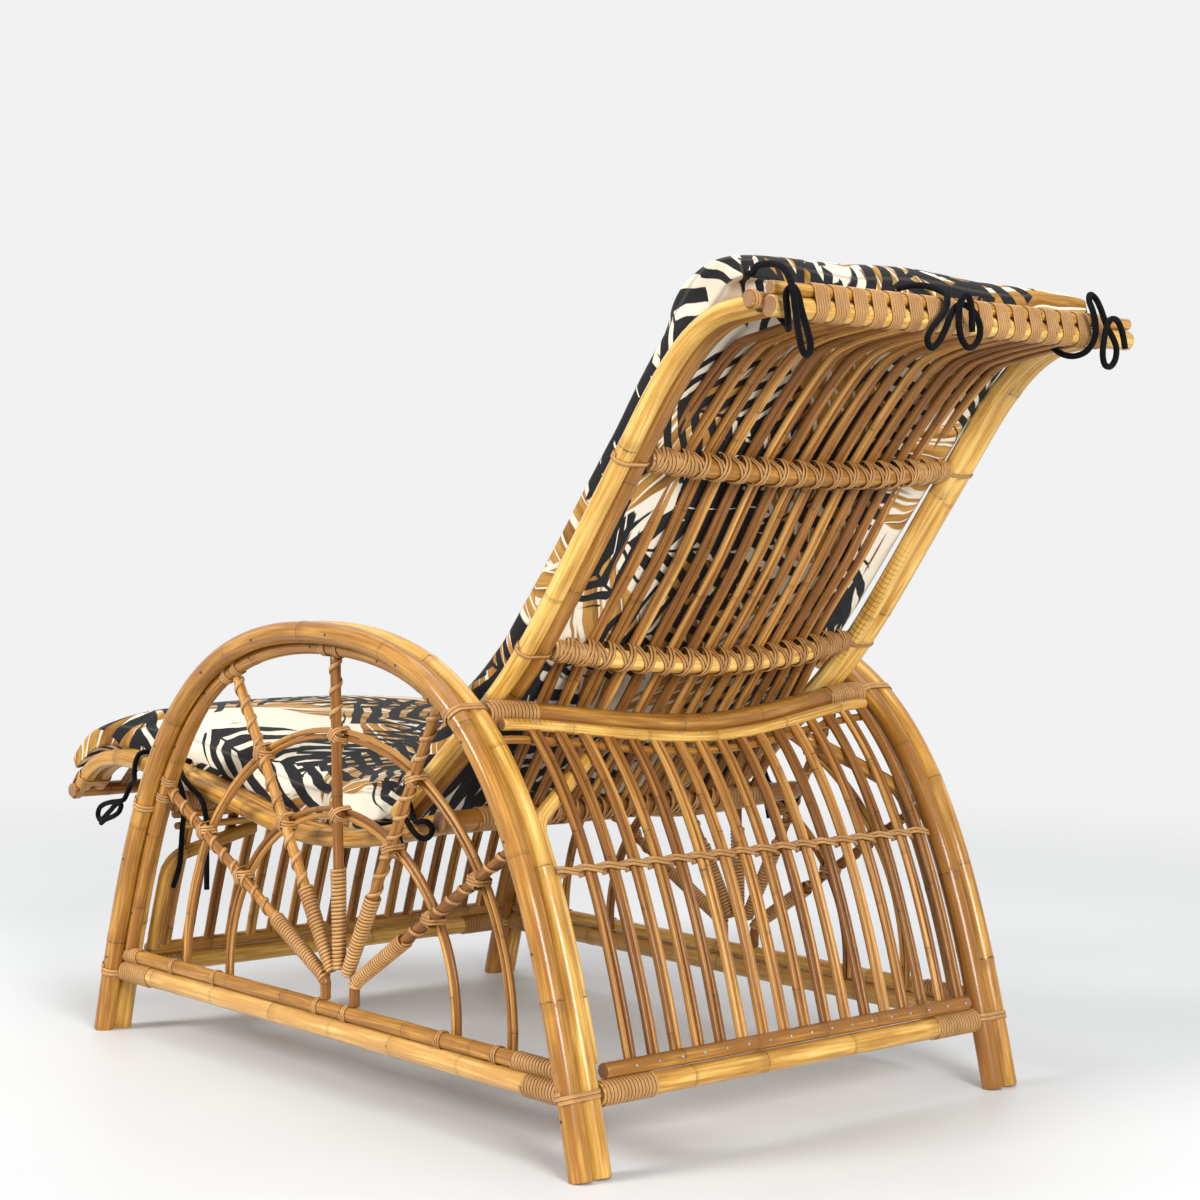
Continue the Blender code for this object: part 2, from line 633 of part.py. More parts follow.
BACK_START = back_start()
TOP_FRONT = BACK.at(BACK.length + TOP_FRONT_RADIUS + TOUCH)
TOP_REAR = TOP_FRONT + ray(-TOP_REAR_DROP) * (TOP_FRONT_RADIUS + TOP_REAR_RADIUS + TOUCH)
TOP_THIN = TOP_REAR + Vector((0.0, TOP_REAR_RADIUS + TOP_THIN_RADIUS + TOUCH))


def back_at_y(y):
    return where(lambda s: BACK.at(s).x - y, 0.0, BACK.length)


def cross_pole(name, flat, half, radius, look=None):
    ends = [across(-half, flat), across(half, flat)]
    return pole(name, ends, radius, look or POLE_LOOK)


def build_seat_rails(side, sign):
    for name, x in (('outer', SEAT_OUTER_X), ('inner', SEAT_INNER_X)):
        path = [across(sign * x, flat) for flat in SEAT.points]
        pole(f'{side}_seat_rail_{name}', path, SEAT_RADIUS, POLE_LOOK)


def build_back_rails(side, sign):
    stops = BACK.stops(BACK_START, BACK.length)
    for name, x in (('outer', SEAT_OUTER_X), ('inner', BACK_INNER_X)):
        path = [across(sign * x, BACK.at(s)) for s in stops]
        pole(f'{side}_back_rail_{name}', path, BACK_RADIUS, POLE_LOOK)


def pair_places(count, span, centre=0.0):
    """The x of every rod of a row of rod pairs."""
    half_pair = ROD_RADIUS + ROD_PAIR_GAP / 2
    places = []
    for number in range(count):
        middle = centre + span * (number / (count - 1) - 0.5)
        places += [middle - half_pair, middle + half_pair]
    return places


class BowedRail:
    """A back cross rail that bows to the rear between the inner side rails."""

    def __init__(self, y, bow):
        self.s = back_at_y(y)
        self.bow = bow
        face = BACK_INNER_X - BACK_RADIUS - TOUCH
        tilt = math.atan(2 * bow / face)
        self.half = face - CROSS_RADIUS * math.sin(tilt)

    def lift(self, x):
        return -self.bow * (1 - (x / self.half) ** 2)

    def slope(self, x):
        return math.hypot(1.0, 2 * self.bow * x / self.half ** 2)

    def rod_lift(self, x):
        return self.lift(x) + (CROSS_RADIUS + ROD_RADIUS) * self.slope(x) + TOUCH + CHORD_SLACK

    def path(self, steps=12):
        stops = [self.half * (2 * i / steps - 1) for i in range(steps + 1)]
        return [across(x, BACK.at(self.s, self.lift(x))) for x in stops]


LOWER_CROSS = BowedRail(LOWER_CROSS_Y, LOWER_CROSS_BOW)
UPPER_CROSS = BowedRail(UPPER_CROSS_Y, UPPER_CROSS_BOW)


def back_rod(x):
    """From the junction rail up in front of the cross rails and over into the top rail."""
    lower = LOWER_CROSS.s
    upper = UPPER_CROSS.s
    lower_spot = BACK.at(lower, LOWER_CROSS.rod_lift(x))
    low_end = JUNCTION + (lower_spot - JUNCTION).normalized() * (JUNCTION_RADIUS + TOUCH)
    middle_lift = (LOWER_CROSS.rod_lift(x) + UPPER_CROSS.rod_lift(x)) / 2 - ROD_DIP
    under_pole = TOP_REAR + Vector(ROD_UNDER_POLE)
    in_pole = TOP_REAR + Vector(ROD_IN_POLE)
    curl = BACK.length - ROD_CURL_START
    points = [low_end, lower_spot, BACK.at((lower + upper) / 2, middle_lift),
              BACK.at(upper, UPPER_CROSS.rod_lift(x)),
              BACK.at(curl, (UPPER_CROSS.rod_lift(x) - ROD_CURL_DROP) / 2),
              BACK.at(curl + ROD_CURL_STEP, -ROD_CURL_DROP), under_pole, in_pole]
    return [across(x, flat) for flat in points]


def build_back_grille():
    """The thick top pole with the rods that end in it."""
    half = SEAT_OUTER_X + BACK_RADIUS + TOP_REAR_OVERHANG
    grille = as_mesh(cross_pole('back_grille', TOP_REAR, half, TOP_REAR_RADIUS))
    rods = tubes('back_rods', [back_rod(x) for x in pair_places(BACK_PAIRS, BACK_PAIR_SPAN)],
                 ROD_RADIUS, ROD_LOOK, SQUARE, HELPERS)
    join(grille, as_mesh(rods))


def build_top_rail():
    side = SEAT_OUTER_X + BACK_RADIUS
    cross_pole('top_rail_front', TOP_FRONT, side + TOP_FRONT_OVERHANG, TOP_FRONT_RADIUS)
    cross_pole('top_rail_thin', TOP_THIN, side + TOP_REAR_OVERHANG, TOP_THIN_RADIUS)


def build_seat_deck():
    """The rail under the scrolls with the rods that run back from it to the junction rail."""
    half = SEAT_OUTER_X + SEAT_RADIUS + SCROLL_OVERHANG
    deck = as_mesh(cross_pole('seat_deck', SCROLL_RAIL, half, SCROLL_RAIL_RADIUS))
    stops = SEAT.stops(0.0, SEAT.length - TOUCH)
    bends = stops[2:-2:2] + [stops[-1]]
    line = [SCROLL_RAIL] + [SEAT.at(s, -DECK_DROP) for s in bends]
    span = 2 * (SEAT_INNER_X - SEAT_RADIUS - DECK_MARGIN)
    rods = tubes('deck_rods', [[across(x, flat) for flat in line]
                               for x in pair_places(DECK_PAIRS, span)],
                 ROD_RADIUS, ROD_LOOK, SQUARE, HELPERS)
    join(deck, as_mesh(rods))


def build_cross_rails():
    cross_pole('junction_rail', JUNCTION, SEAT_OUTER_X + SEAT_RADIUS + JUNCTION_OVERHANG,
               JUNCTION_RADIUS)
    pole('back_cross_lower', LOWER_CROSS.path(), CROSS_RADIUS, POLE_LOOK)
    pole('back_cross_upper', UPPER_CROSS.path(), CROSS_RADIUS, POLE_LOOK)


# Panels on the arches' front and back

def rear_sag(x):
    """How far the rear top rail hangs down the arch's curve at x."""
    share = min(1.0, abs(x) / (INNER_FACE_X - SAG_STRAIGHT_END))
    return REAR_SAG * ((1 + math.cos(math.pi * share)) / 2) ** SAG_FULLNESS


STEEPEST_SAG = SAG_STEEPENING * REAR_SAG * math.pi / 2 / (INNER_FACE_X - SAG_STRAIGHT_END)
SAG_SLOPE = math.hypot(1.0, STEEPEST_SAG)


def rear_rail_start():
    """Length down the arch of the rear top rail's ends, so that the back rests on the rail."""
    sum_radii = (BACK_RADIUS + PANEL_RAIL_RADIUS) * SAG_SLOPE
    sag = rear_sag(SEAT_OUTER_X)

    def clearance(s):
        return -BACK.height_over(arch_at(s + sag)) - sum_radii - TOUCH
    return where(clearance, arch_down_to(CROWN_HEIGHT * 0.97), arch_down_to(CROWN_HEIGHT / 2))


def front_rail_start():
    """Length down the arch, to the front, of the rail that the seat rests on."""
    def clearance(s):
        return -SEAT.height_over(arch_at(-s)) - SEAT_RADIUS - PANEL_RAIL_RADIUS - TOUCH
    return where(clearance, arch_down_to(CROWN_HEIGHT * 0.8), arch_down_to(CROWN_HEIGHT / 4))


class Panel:
    """A grille on the arches' curve, at the front or the back of the chair."""

    def __init__(self, name, facing, rail_s, sag, brace_bend_height, margins):
        self.name = name
        self.facing = facing
        self.rail_s = rail_s
        self.sag = sag
        self.brace_bend_height = brace_bend_height
        left, right = margins
        self.pair_span = 2 * INNER_FACE_X - left - right
        self.pair_centre = (right - left) / 2
        self.strip_step = (PANEL_RAIL_RADIUS + TOP_STRIP_RADIUS) * SAG_SLOPE + TOUCH
        self.bottom_s = (LOWER_RAIL_S - PANEL_RAIL_RADIUS - BOTTOM_STRIP_RADIUS - TOUCH)

    def point(self, x, s, inset=0.0):
        return across(x, arch_at(self.facing * s, inset))

    def row(self, step):
        """Points across the chair, a step further down the arch than the top rail."""
        bent = INNER_FACE_X - SAG_STRAIGHT_END
        steps = SAG_STEPS if self.sag(0.0) else 1
        stops = [bent * (2 * i / steps - 1) for i in range(steps + 1)]
        stops = [-INNER_FACE_X] + stops + [INNER_FACE_X]
        return [self.point(x, self.rail_s + self.sag(x) + step) for x in stops]

    def rod(self, x):
        top = self.rail_s + self.sag(x) + self.strip_step
        return [self.point(x, s) for s in arch_stops(top, self.bottom_s)]

    def build_rails(self):
        pole(f'{self.name}_top_rail', self.row(0.0), PANEL_RAIL_RADIUS, POLE_LOOK)
        low = arch_at(self.facing * LOWER_RAIL_S)
        cross_pole(f'{self.name}_lower_rail', low, INNER_FACE_X, PANEL_RAIL_RADIUS)

    def build_grille(self):
        """Bottom strip, rods and top strip, nailed into one."""
        low = arch_at(self.facing * self.bottom_s)
        grille = as_mesh(cross_pole(f'{self.name}_grille', low, INNER_FACE_X, BOTTOM_STRIP_RADIUS,
                                    ROD_LOOK))
        places = pair_places(PANEL_PAIRS, self.pair_span, self.pair_centre)
        rods = tubes(f'{self.name}_rods', [self.rod(x) for x in places],
                     ROD_RADIUS, ROD_LOOK, SQUARE, HELPERS)
        strip = tubes(f'{self.name}_strip', [self.row(self.strip_step)], TOP_STRIP_RADIUS,
                      ROD_LOOK, ROUND, HELPERS)
        join(grille, as_mesh(rods))
        join(grille, as_mesh(strip))

    def build_brace(self, side, sign):
        """Up inside the leg, then in a bend towards the middle of the top rail."""
        inset = ROD_RADIUS + BRACE_RADIUS + TOUCH
        x = INNER_FACE_X - BRACE_RADIUS
        foot = self.bottom_s - BOTTOM_STRIP_RADIUS - CHORD_SLACK
        bend = arch_down_to(self.brace_bend_height)
        top = self.rail_s + self.sag(BRACE_TOP_X) + self.strip_step + BRACE_TOP_DROP
        plan = rounded([Vector((x, foot)), Vector((x, bend)), Vector((BRACE_TOP_X, top))],
                       BRACE_BEND)
        far_half = (plan[-2] + plan[-1]) / 2
        leg = [Vector((x, s)) for s in reversed(arch_stops(plan[1].y, plan[0].y))]
        plan = leg + plan[2:-1] + [far_half, plan[-1]]
        path = [self.point(sign * spot.x, spot.y, inset) for spot in plan]
        pole(f'{self.name}_brace_{side}', path, BRACE_RADIUS, POLE_LOOK)


# Cushion

def cushion_line():
    """The curve under the cushion, which lies on the seat and back rails."""
    seat_lift = SEAT_RADIUS + TOUCH + CUSHION_SEAT_LIFT
    back_lift = BACK_RADIUS + TOUCH + CUSHION_BACK_LIFT
    bend_start = where(lambda s: SEAT.at(s).x - CUSHION_BEND_Y[0], 0.0, SEAT.length)
    bend_end = back_at_y(CUSHION_BEND_Y[1])
    seat = [SEAT.at(s, seat_lift) for s in SEAT.stops(-CUSHION_FRONT_REACH, bend_start)]
    back = [BACK.at(s, back_lift) for s in BACK.stops(bend_end, BACK.length - CUSHION_TOP_SETBACK)]
    reach = (back[0] - seat[-1]).length * CUSHION_BEND_PULL
    leave = seat[-1] + SEAT.run(bend_start) * reach
    arrive = back[0] - BACK.run(bend_end) * reach
    bend = [bezier(seat[-1], leave, arrive, back[0], i / CUSHION_BEND_STEPS)
            for i in range(1, CUSHION_BEND_STEPS)]
    return SideCurve(seat + bend + back)


def cushion_section(width, edge, crown):
    """Half outline of the cushion across its width: (x, height), from under it to its top."""
    waist = (width - CUSHION_SIDE_PULL, edge / 2)
    top = [(width * share, edge + (crown - edge) * (1 - share ** CUSHION_CROWN_POWER))
           for share in CUSHION_TOP_SHARES]
    return [(width * CUSHION_UNDER_SHARE, 0.0), (width, 0.0), waist, (width, edge)] + top


def build_cushion():
    line = cushion_line()
    shape = bmesh.new()
    rings = []
    ends = [line.length * share for share in CUSHION_END_STOPS]
    for s in sorted(line.marks + ends):
        share = s / line.length
        from_end = max(0.0, 1 - abs(2 * share - 1))
        waisted = min(1.0, from_end / CUSHION_WAIST_SHARE) ** CUSHION_WAIST_POWER
        width = CUSHION_HALF_WIDTH - CUSHION_WAIST * waisted
        taper = CUSHION_FRONT_TAPER if share < 0.5 else CUSHION_TOP_TAPER
        fullness = min(1.0, from_end / taper) ** CUSHION_TAPER_POWER
        edge = CUSHION_END_EDGE + (CUSHION_EDGE - CUSHION_END_EDGE) * fullness
        crown = edge + (CUSHION_CROWN - CUSHION_EDGE) * fullness
        half = cushion_section(width, edge, crown)
        outline = half + [(0.0, crown)] + [(-x, h) for x, h in reversed(half)]
        outline.append((0.0, 0.0))
        ring = []
        for x, height in outline:
            fade = 1 - from_end / CUSHION_PULL_SHARE
            end_pull = CUSHION_END_PULL * (1 - (x / width) ** 2) * fade
            inward = math.copysign(max(0.0, end_pull), 0.5 - share)
            flat = line.at(s + inward, height)
            ring.append(shape.verts.new(across(x, flat)))
        rings.append(ring)
    for near, far in zip(rings, rings[1:]):
        for index in range(len(near)):
            following = (index + 1) % len(near)
            shape.faces.new((near[index], near[following], far[following], far[index]))
    shape.faces.new(rings[0])
    shape.faces.new(list(reversed(rings[-1])))
    bmesh.ops.recalc_face_normals(shape, faces=shape.faces)
    mesh = bpy.data.meshes.new('cushion')
    shape.to_mesh(mesh)
    shape.free()
    mesh.materials.append(CLOTH_LOOK)
    mesh.shade_smooth()
    CHAIR.objects.link(bpy.data.objects.new('cushion', mesh))


# Binding and cords

def arc_round(centre, radius, arc):
    """Points from one angle to another whose straight runs stay clear of the radius."""
    first, last, steps = arc
    step = math.radians(last - first) / steps
    reach = (radius + BINDING_RADIUS + BINDING_GAP) / math.cos(step / 2)
    return [centre + reach * ray(math.radians(first) + step * i) for i in range(steps + 1)]


def binding_loop(x):
    """Once round the top rail's three poles at x, from the valley between two of them and back."""
    valley = TOP_FRONT.lerp(TOP_THIN, VALLEY_SHARE)
    ring = [valley] + arc_round(TOP_THIN, TOP_THIN_RADIUS, THIN_ARC)
    ring += arc_round(TOP_REAR, TOP_REAR_RADIUS, REAR_ARC)
    ring += arc_round(TOP_FRONT, TOP_FRONT_RADIUS, FRONT_ARC) + [valley]
    shares = [i / (len(ring) - 1) for i in range(len(ring))]
    return [across(x + BINDING_DRIFT * (2 * share - 1), flat) for share, flat in zip(shares, ring)]


def least_gap(path, radius, apart):
    """The least distance between the tube's surface and itself, past a length along the path."""
    marks = [0.0]
    for start, end in zip(path, path[1:]):
        marks.append(marks[-1] + (end - start).length)
    least = math.inf
    for i, spot in enumerate(path):
        for j in range(i + 1, len(path)):
            if marks[j] - marks[i] > apart:
                least = min(least, (path[j] - spot).length)
    return least - 2 * radius


def build_binding():
    path = []
    spacing = BACK_PAIR_SPAN / (BACK_PAIRS - 1)
    for number in range(BACK_PAIRS + 1):
        path += binding_loop(spacing * (number - BACK_PAIRS / 2))
    pole('top_rail_binding', path, BINDING_RADIUS, CANE_LOOK, SQUARE)
    fine = []
    for start, end in zip(path, path[1:]):
        fine += [start.lerp(end, i / 6) for i in range(6)]
    gap = least_gap(fine, BINDING_RADIUS, ONE_TURN)
    print(f'Binding: {BACK_PAIRS + 1} loops, least gap {gap:.4f} m')


def build_cord(name, route):
    path = thinned(smooth_through(route, 4), CORD_TURN, CORD_STEP)
    pole(name, path, CORD_RADIUS, CORD_LOOK, SQUARE)
    length = sum((end - start).length for start, end in zip(path, path[1:]))
    gap = least_gap(smooth_through(route, 8), CORD_RADIUS, 6 * CORD_RADIUS)
    print(f'{name}: {length:.3f} m long, least gap {gap:.4f} m')


def build_cords():
    build_cord('tie_top_left', TIE_TOP_LEFT)
    build_cord('tie_top_middle', TIE_TOP_MIDDLE)
    build_cord('tie_top_right', TIE_TOP_RIGHT)
    build_cord('tie_junction_left', TIE_JUNCTION)
    build_cord('tie_junction_right', [(-x, y, z) for x, y, z in TIE_JUNCTION])
    build_cord('tie_front_left', TIE_FRONT_LEFT)
    build_cord('tail_front', TAIL_FRONT)
    build_cord('tail_rear', TAIL_REAR)


def build_chair():
    for side, sign in (('left', 1), ('right', -1)):
        build_arches(side, sign)
        build_liner(side, sign)
        build_side_rails(side, sign)
        build_spokes(side, sign)
        build_ring(side, sign, 'large', LARGE_RING_RADIUS)
        build_ring(side, sign, 'small', SMALL_RING_RADIUS)
        build_seat_rails(side, sign)
        build_back_rails(side, sign)
    build_back_grille()
    build_top_rail()
    build_seat_deck()
    build_cross_rails()
    rear = Panel('rear', 1, rear_rail_start(), rear_sag, REAR_BRACE_BEND_HEIGHT,
                 (REAR_PAIR_MARGIN_LEFT, REAR_PAIR_MARGIN_RIGHT))
    front = Panel('front', -1, front_rail_start(), lambda x: 0.0, FRONT_BRACE_BEND_HEIGHT,
                  (FRONT_PAIR_MARGIN, FRONT_PAIR_MARGIN))
    for panel in (rear, front):
        panel.build_rails()
        panel.build_grille()
        for side, sign in (('left', 1), ('right', -1)):
            panel.build_brace(side, sign)
    build_cushion()
    build_binding()
    build_cords()


build_chair()
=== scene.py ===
# %% [markdown]
# # Lounge chair of bent rattan with a tied-on pad cushion
# Two arches of bent pole carry a low seat and a leaning back. Thin rods in pairs fill the back, the
# seat and the two panels under it. One long printed cushion is tied on with black cord. This first
# step loads the measured frame. Every piece below is built on it and never changes its size.

# %% The frame and its box
import math
import random
from bisect import bisect_left

import bmesh
import bpy
from mathutils import Matrix, Vector, noise


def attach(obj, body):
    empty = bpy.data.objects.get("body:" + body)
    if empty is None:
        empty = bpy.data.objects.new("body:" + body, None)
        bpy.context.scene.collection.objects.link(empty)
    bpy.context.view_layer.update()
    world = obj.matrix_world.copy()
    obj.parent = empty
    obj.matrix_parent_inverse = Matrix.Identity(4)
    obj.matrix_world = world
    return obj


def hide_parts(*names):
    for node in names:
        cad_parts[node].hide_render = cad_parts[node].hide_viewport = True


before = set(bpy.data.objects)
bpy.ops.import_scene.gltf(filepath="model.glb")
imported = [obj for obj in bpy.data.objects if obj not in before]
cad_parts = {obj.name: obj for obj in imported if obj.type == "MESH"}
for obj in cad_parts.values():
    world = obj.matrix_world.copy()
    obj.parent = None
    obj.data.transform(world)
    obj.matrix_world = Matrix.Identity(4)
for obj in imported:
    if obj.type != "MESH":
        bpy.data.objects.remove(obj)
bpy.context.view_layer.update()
print(len(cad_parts), "nodes in the frame")

# %% [markdown]
# ## Camera
# The camera stands behind the chair on the sitter's left, a little above the arms, with a long lens.
# Its place and turn were found from points that are known on the frame. A slight roll levels it.

# %% Camera
CAMERA_PLACE = Vector((1.880, 2.212, 0.6458))
CAMERA_YAW = math.radians(41.7311)
CAMERA_PITCH = math.radians(1.84444)
CAMERA_ROLL = math.radians(0.77728)
CAMERA_LENS = 72.52
CAMERA_SENSOR = 36.0


def camera_turn():
    """The camera's own right, up and back directions as the columns of a matrix."""
    flat = math.cos(CAMERA_PITCH)
    ahead = Vector((-math.sin(CAMERA_YAW) * flat, -math.cos(CAMERA_YAW) * flat,
                    -math.sin(CAMERA_PITCH)))
    level = ahead.cross(Vector((0, 0, 1))).normalized()
    up = level.cross(ahead)
    right = level * math.cos(CAMERA_ROLL) + up * math.sin(CAMERA_ROLL)
    over = up * math.cos(CAMERA_ROLL) - level * math.sin(CAMERA_ROLL)
    return Matrix((right, over, -ahead)).transposed()


def placed(name, data):
    """An object for the mesh, curve, lamp or camera, in the scene."""
    made = bpy.data.objects.new(name, data)
    bpy.context.scene.collection.objects.link(made)
    return made


lens = bpy.data.cameras.new("Camera")
lens.lens = CAMERA_LENS
lens.sensor_width = CAMERA_SENSOR
camera = placed("Camera", lens)
camera.matrix_world = camera_turn().to_4x4()
camera.location = CAMERA_PLACE
bpy.context.scene.camera = camera

# %% [markdown]
# ## Sums written as Python, nodes made behind them
# A finish is easier to read as a formula than as a picture of boxes. `Value` wraps one socket, so
# that `a * b + c` makes the math nodes. `Graph` makes every other kind of node, in a material or in
# a geometry tree.

# %% Node helpers
class Value:
    """One output socket of a node, which takes part in Python sums."""

    def __init__(self, graph, socket):
        self.graph = graph
        self.socket = socket

    def math(self, operation, *others):
        node = self.graph.tree.nodes.new("ShaderNodeMath")
        node.operation = operation
        for place, value in enumerate((self,) + others):
            self.graph.plug(node.inputs[place], value)
        return Value(self.graph, node.outputs[0])

    def __add__(self, other):
        return self.math("ADD", other)

    def __sub__(self, other):
        return self.math("SUBTRACT", other)

    def __mul__(self, other):
        return self.math("MULTIPLY", other)

    def __truediv__(self, other):
        return self.math("DIVIDE", other)

    def __radd__(self, other):
        return self + other

    def __rmul__(self, other):
        return self * other

    def __rsub__(self, other):
        return self * -1.0 + other

    def __abs__(self):
        return self.math("ABSOLUTE")

    def power(self, other):
        return self.math("POWER", other)

    def above(self, edge, soft):
        """0 well under the edge, 1 well over it, smooth between."""
        return self.graph.value("ShaderNodeMapRange", {"interpolation_type": "SMOOTHSTEP"},
                                {"Value": self, "From Min": edge - soft, "From Max": edge + soft})

    def clamped(self):
        return self.math("MINIMUM", 1.0).math("MAXIMUM", 0.0)


class Graph:
    """Makes nodes in one tree and links them as they are made."""

    def __init__(self, tree):
        self.tree = tree

    def plug(self, socket, value):
        if isinstance(value, Value):
            self.tree.links.new(value.socket, socket)
        elif isinstance(value, bpy.types.NodeSocket):
            self.tree.links.new(value, socket)
        else:
            socket.default_value = value

    def node(self, kind, settings=None, sockets=None):
        made = self.tree.nodes.new(kind)
        for name, setting in (settings or {}).items():
            setattr(made, name, setting)
        for name, value in (sockets or {}).items():
            self.plug(made.inputs[name], value)
        return made

    def value(self, kind, settings=None, sockets=None, out=0):
        return Value(self, self.node(kind, settings, sockets).outputs[out])

    def vector(self, x, y, z):
        return self.value("ShaderNodeCombineXYZ", None, {"X": x, "Y": y, "Z": z})

    def vector_sum(self, operation, a, b, out=0):
        return self.value("ShaderNodeVectorMath", {"operation": operation}, {0: a, 1: b}, out)

    def scaled(self, vector, factor):
        return self.value("ShaderNodeVectorMath", {"operation": "SCALE"},
                          {0: vector, "Scale": factor})

    def place(self):
        return self.value("ShaderNodeTexCoord", out="Object")

    def attribute(self, name):
        """A number that the mesh keeps, in a material."""
        return self.value("ShaderNodeAttribute", {"attribute_name": name}, None, "Fac")

    def named(self, name, kind="FLOAT_VECTOR"):
        """A value that the geometry keeps, in a geometry tree."""
        return self.value("GeometryNodeInputNamedAttribute", {"data_type": kind}, {"Name": name})

    def keep(self, geometry, name, value, kind="FLOAT"):
        """The geometry with one more named value on its points."""
        return self.value("GeometryNodeStoreNamedAttribute", {"data_type": kind, "domain": "POINT"},
                          {"Geometry": geometry, "Name": name, "Value": value})

    def shape(self, kind, settings=None, **sockets):
        """A geometry node with its sockets given by name."""
        return self.value(kind, settings, {name.replace("_", " "): value
                                           for name, value in sockets.items()})

    def noise(self, vector, scale, detail=3.0, rough=0.55):
        return self.value("ShaderNodeTexNoise", None,
                          {"Vector": vector, "Scale": scale, "Detail": detail, "Roughness": rough})

    def mix(self, share, first, second):
        """A colour between two colours."""
        node = self.node("ShaderNodeMix", {"data_type": "RGBA"})
        self.plug(node.inputs[0], share)
        for place, colour in ((6, first), (7, second)):
            if isinstance(colour, tuple):
                colour = (*colour, 1.0)
            self.plug(node.inputs[place], colour)
        return Value(self, node.outputs[2])


def new_finish(name, roughness=0.5, **levels):
    """A material with its graph and its shader node, some inputs set by name."""
    look = bpy.data.materials.new(name)
    look.use_nodes = True
    shader = look.node_tree.nodes["Principled BSDF"]
    shader.inputs["Roughness"].default_value = roughness
    for label, level in levels.items():
        shader.inputs[label.replace("_", " ")].default_value = level
    return look, Graph(look.node_tree), shader


def paint(graph, shader, colour, height, distance, strength, roughness=None):
    """Link the colour, a bump from the height and, where it is given, the roughness."""
    graph.plug(shader.inputs["Base Color"], colour)
    if roughness is not None:
        graph.plug(shader.inputs["Roughness"], roughness)
    raised = graph.value("ShaderNodeBump", None,
                         {"Height": height, "Distance": distance, "Strength": strength}, "Normal")
    graph.plug(shader.inputs["Normal"], raised)


def darker(colour, share):
    return tuple(part * share for part in colour)


# %% [markdown]
# ## Black tie cord
# The cords are round braided cotton. The braid is too fine to model, so small round cells raise a
# bump, and a soft dark sheen stands for the fuzz.

# %% Cord finish
CORD_BLACK = (0.002, 0.002, 0.003)
CORD_WORN = (0.009, 0.009, 0.011)
BRAID_SIZE = 620.0
FUZZ_SIZE = 1400.0

cord_look, graph, shader = new_finish("Black braided cord", 0.85, Sheen_Weight=0.02,
                                      Specular_IOR_Level=0.08)
place = graph.place()
braid = graph.value("ShaderNodeTexVoronoi", None, {"Vector": place, "Scale": BRAID_SIZE})
fuzz = graph.noise(place, FUZZ_SIZE, 2.0)
paint(graph, shader, graph.mix(fuzz.above(0.55, 0.2), CORD_BLACK, CORD_WORN),
      braid + fuzz * 0.5, 0.0006, 0.9)

# %% [markdown]
# ## Curves in the side view
# A bent pole follows a smooth line, so each line is drawn once from a few points and measured along
# its length. A point beside the line is found by a lift, which is how one pole is laid on another.

# %% Curves
def bezier(a, b, c, d, t):
    return a * (1 - t) ** 3 + b * 3 * t * (1 - t) ** 2 + c * 3 * t * t * (1 - t) + d * t ** 3


def smooth_through(points, steps):
    """A smooth curve through the points, with a number of steps between neighbours."""
    knots = [Vector(p) for p in points]
    knots = [2 * knots[0] - knots[1]] + knots + [2 * knots[-1] - knots[-2]]
    curve = []
    for before, start, end, after in zip(knots, knots[1:], knots[2:], knots[3:]):
        for step in range(steps):
            leave = (end - before) / 6
            arrive = (after - start) / 6
            curve.append(bezier(start, start + leave, end - arrive, end, step / steps))
    curve.append(knots[-2])
    return curve


def spread(start, end, step):
    """Numbers from one to another, evenly spaced and a step apart at most."""
    count = max(2, math.ceil(abs(end - start) / step))
    return [start + (end - start) * i / count for i in range(count + 1)]


class Line:
    """Points joined by straight runs and measured along their length."""

    def __init__(self, points):
        self.points = [Vector(p) for p in points]
        self.marks = [0.0]
        for start, end in zip(self.points, self.points[1:]):
            self.marks.append(self.marks[-1] + (end - start).length)
        self.length = self.marks[-1]

    def span(self, s):
        """The run that holds the length s, and the share of the run at which s falls."""
        index = min(bisect_left(self.marks, s, 1) - 1, len(self.points) - 2)
        return index, (s - self.marks[index]) / (self.marks[index + 1] - self.marks[index])

    def at(self, s):
        index, share = self.span(s)
        return self.points[index].lerp(self.points[index + 1], share)

    def facing(self, s):
        reach = min(0.002, self.length / 8)
        return (self.at(min(s + reach, self.length)) - self.at(max(s - reach, 0.0))).normalized()

    def part(self, start, end, step=0.006):
        """Points from one length to another; a negative length counts from the end."""
        low = start if start >= 0 else self.length + start
        high = end if end > 0 else self.length + end
        return [self.at(s) for s in spread(low, high, step)]


class SideCurve(Line):
    """A line in the side view. A lift is square to it, to its left."""

    def __init__(self, points):
        super().__init__(points)
        runs = [(end - start).normalized() for start, end in zip(self.points, self.points[1:])]
        self.corners = []
        for before, after in zip([runs[0]] + runs, runs + [runs[-1]]):
            facing = (before + after).normalized()
            self.corners.append(Vector((-facing.y, facing.x)) / facing.dot(after))

    def run(self, s):
        index = self.span(s)[0]
        return (self.points[index + 1] - self.points[index]).normalized()

    def normal(self, s):
        return self.corners[self.span(s)[0]]

    def at(self, s, lift=0.0):
        index, share = self.span(s)
        spot = self.points[index].lerp(self.points[index + 1], share)
        near = min(1.0, max(0.0, share))
        return spot + self.corners[index].lerp(self.corners[index + 1], near) * lift

    def height_over(self, point):
        nearest = math.inf
        for start, end in zip(self.points, self.points[1:]):
            along = end - start
            share = (point - start).dot(along) / along.length_squared
            away = point - (start + along * min(1.0, max(0.0, share)))
            if away.length < abs(nearest):
                side = along.x * (point - start).y - along.y * (point - start).x
                nearest = math.copysign(away.length, side)
        return nearest


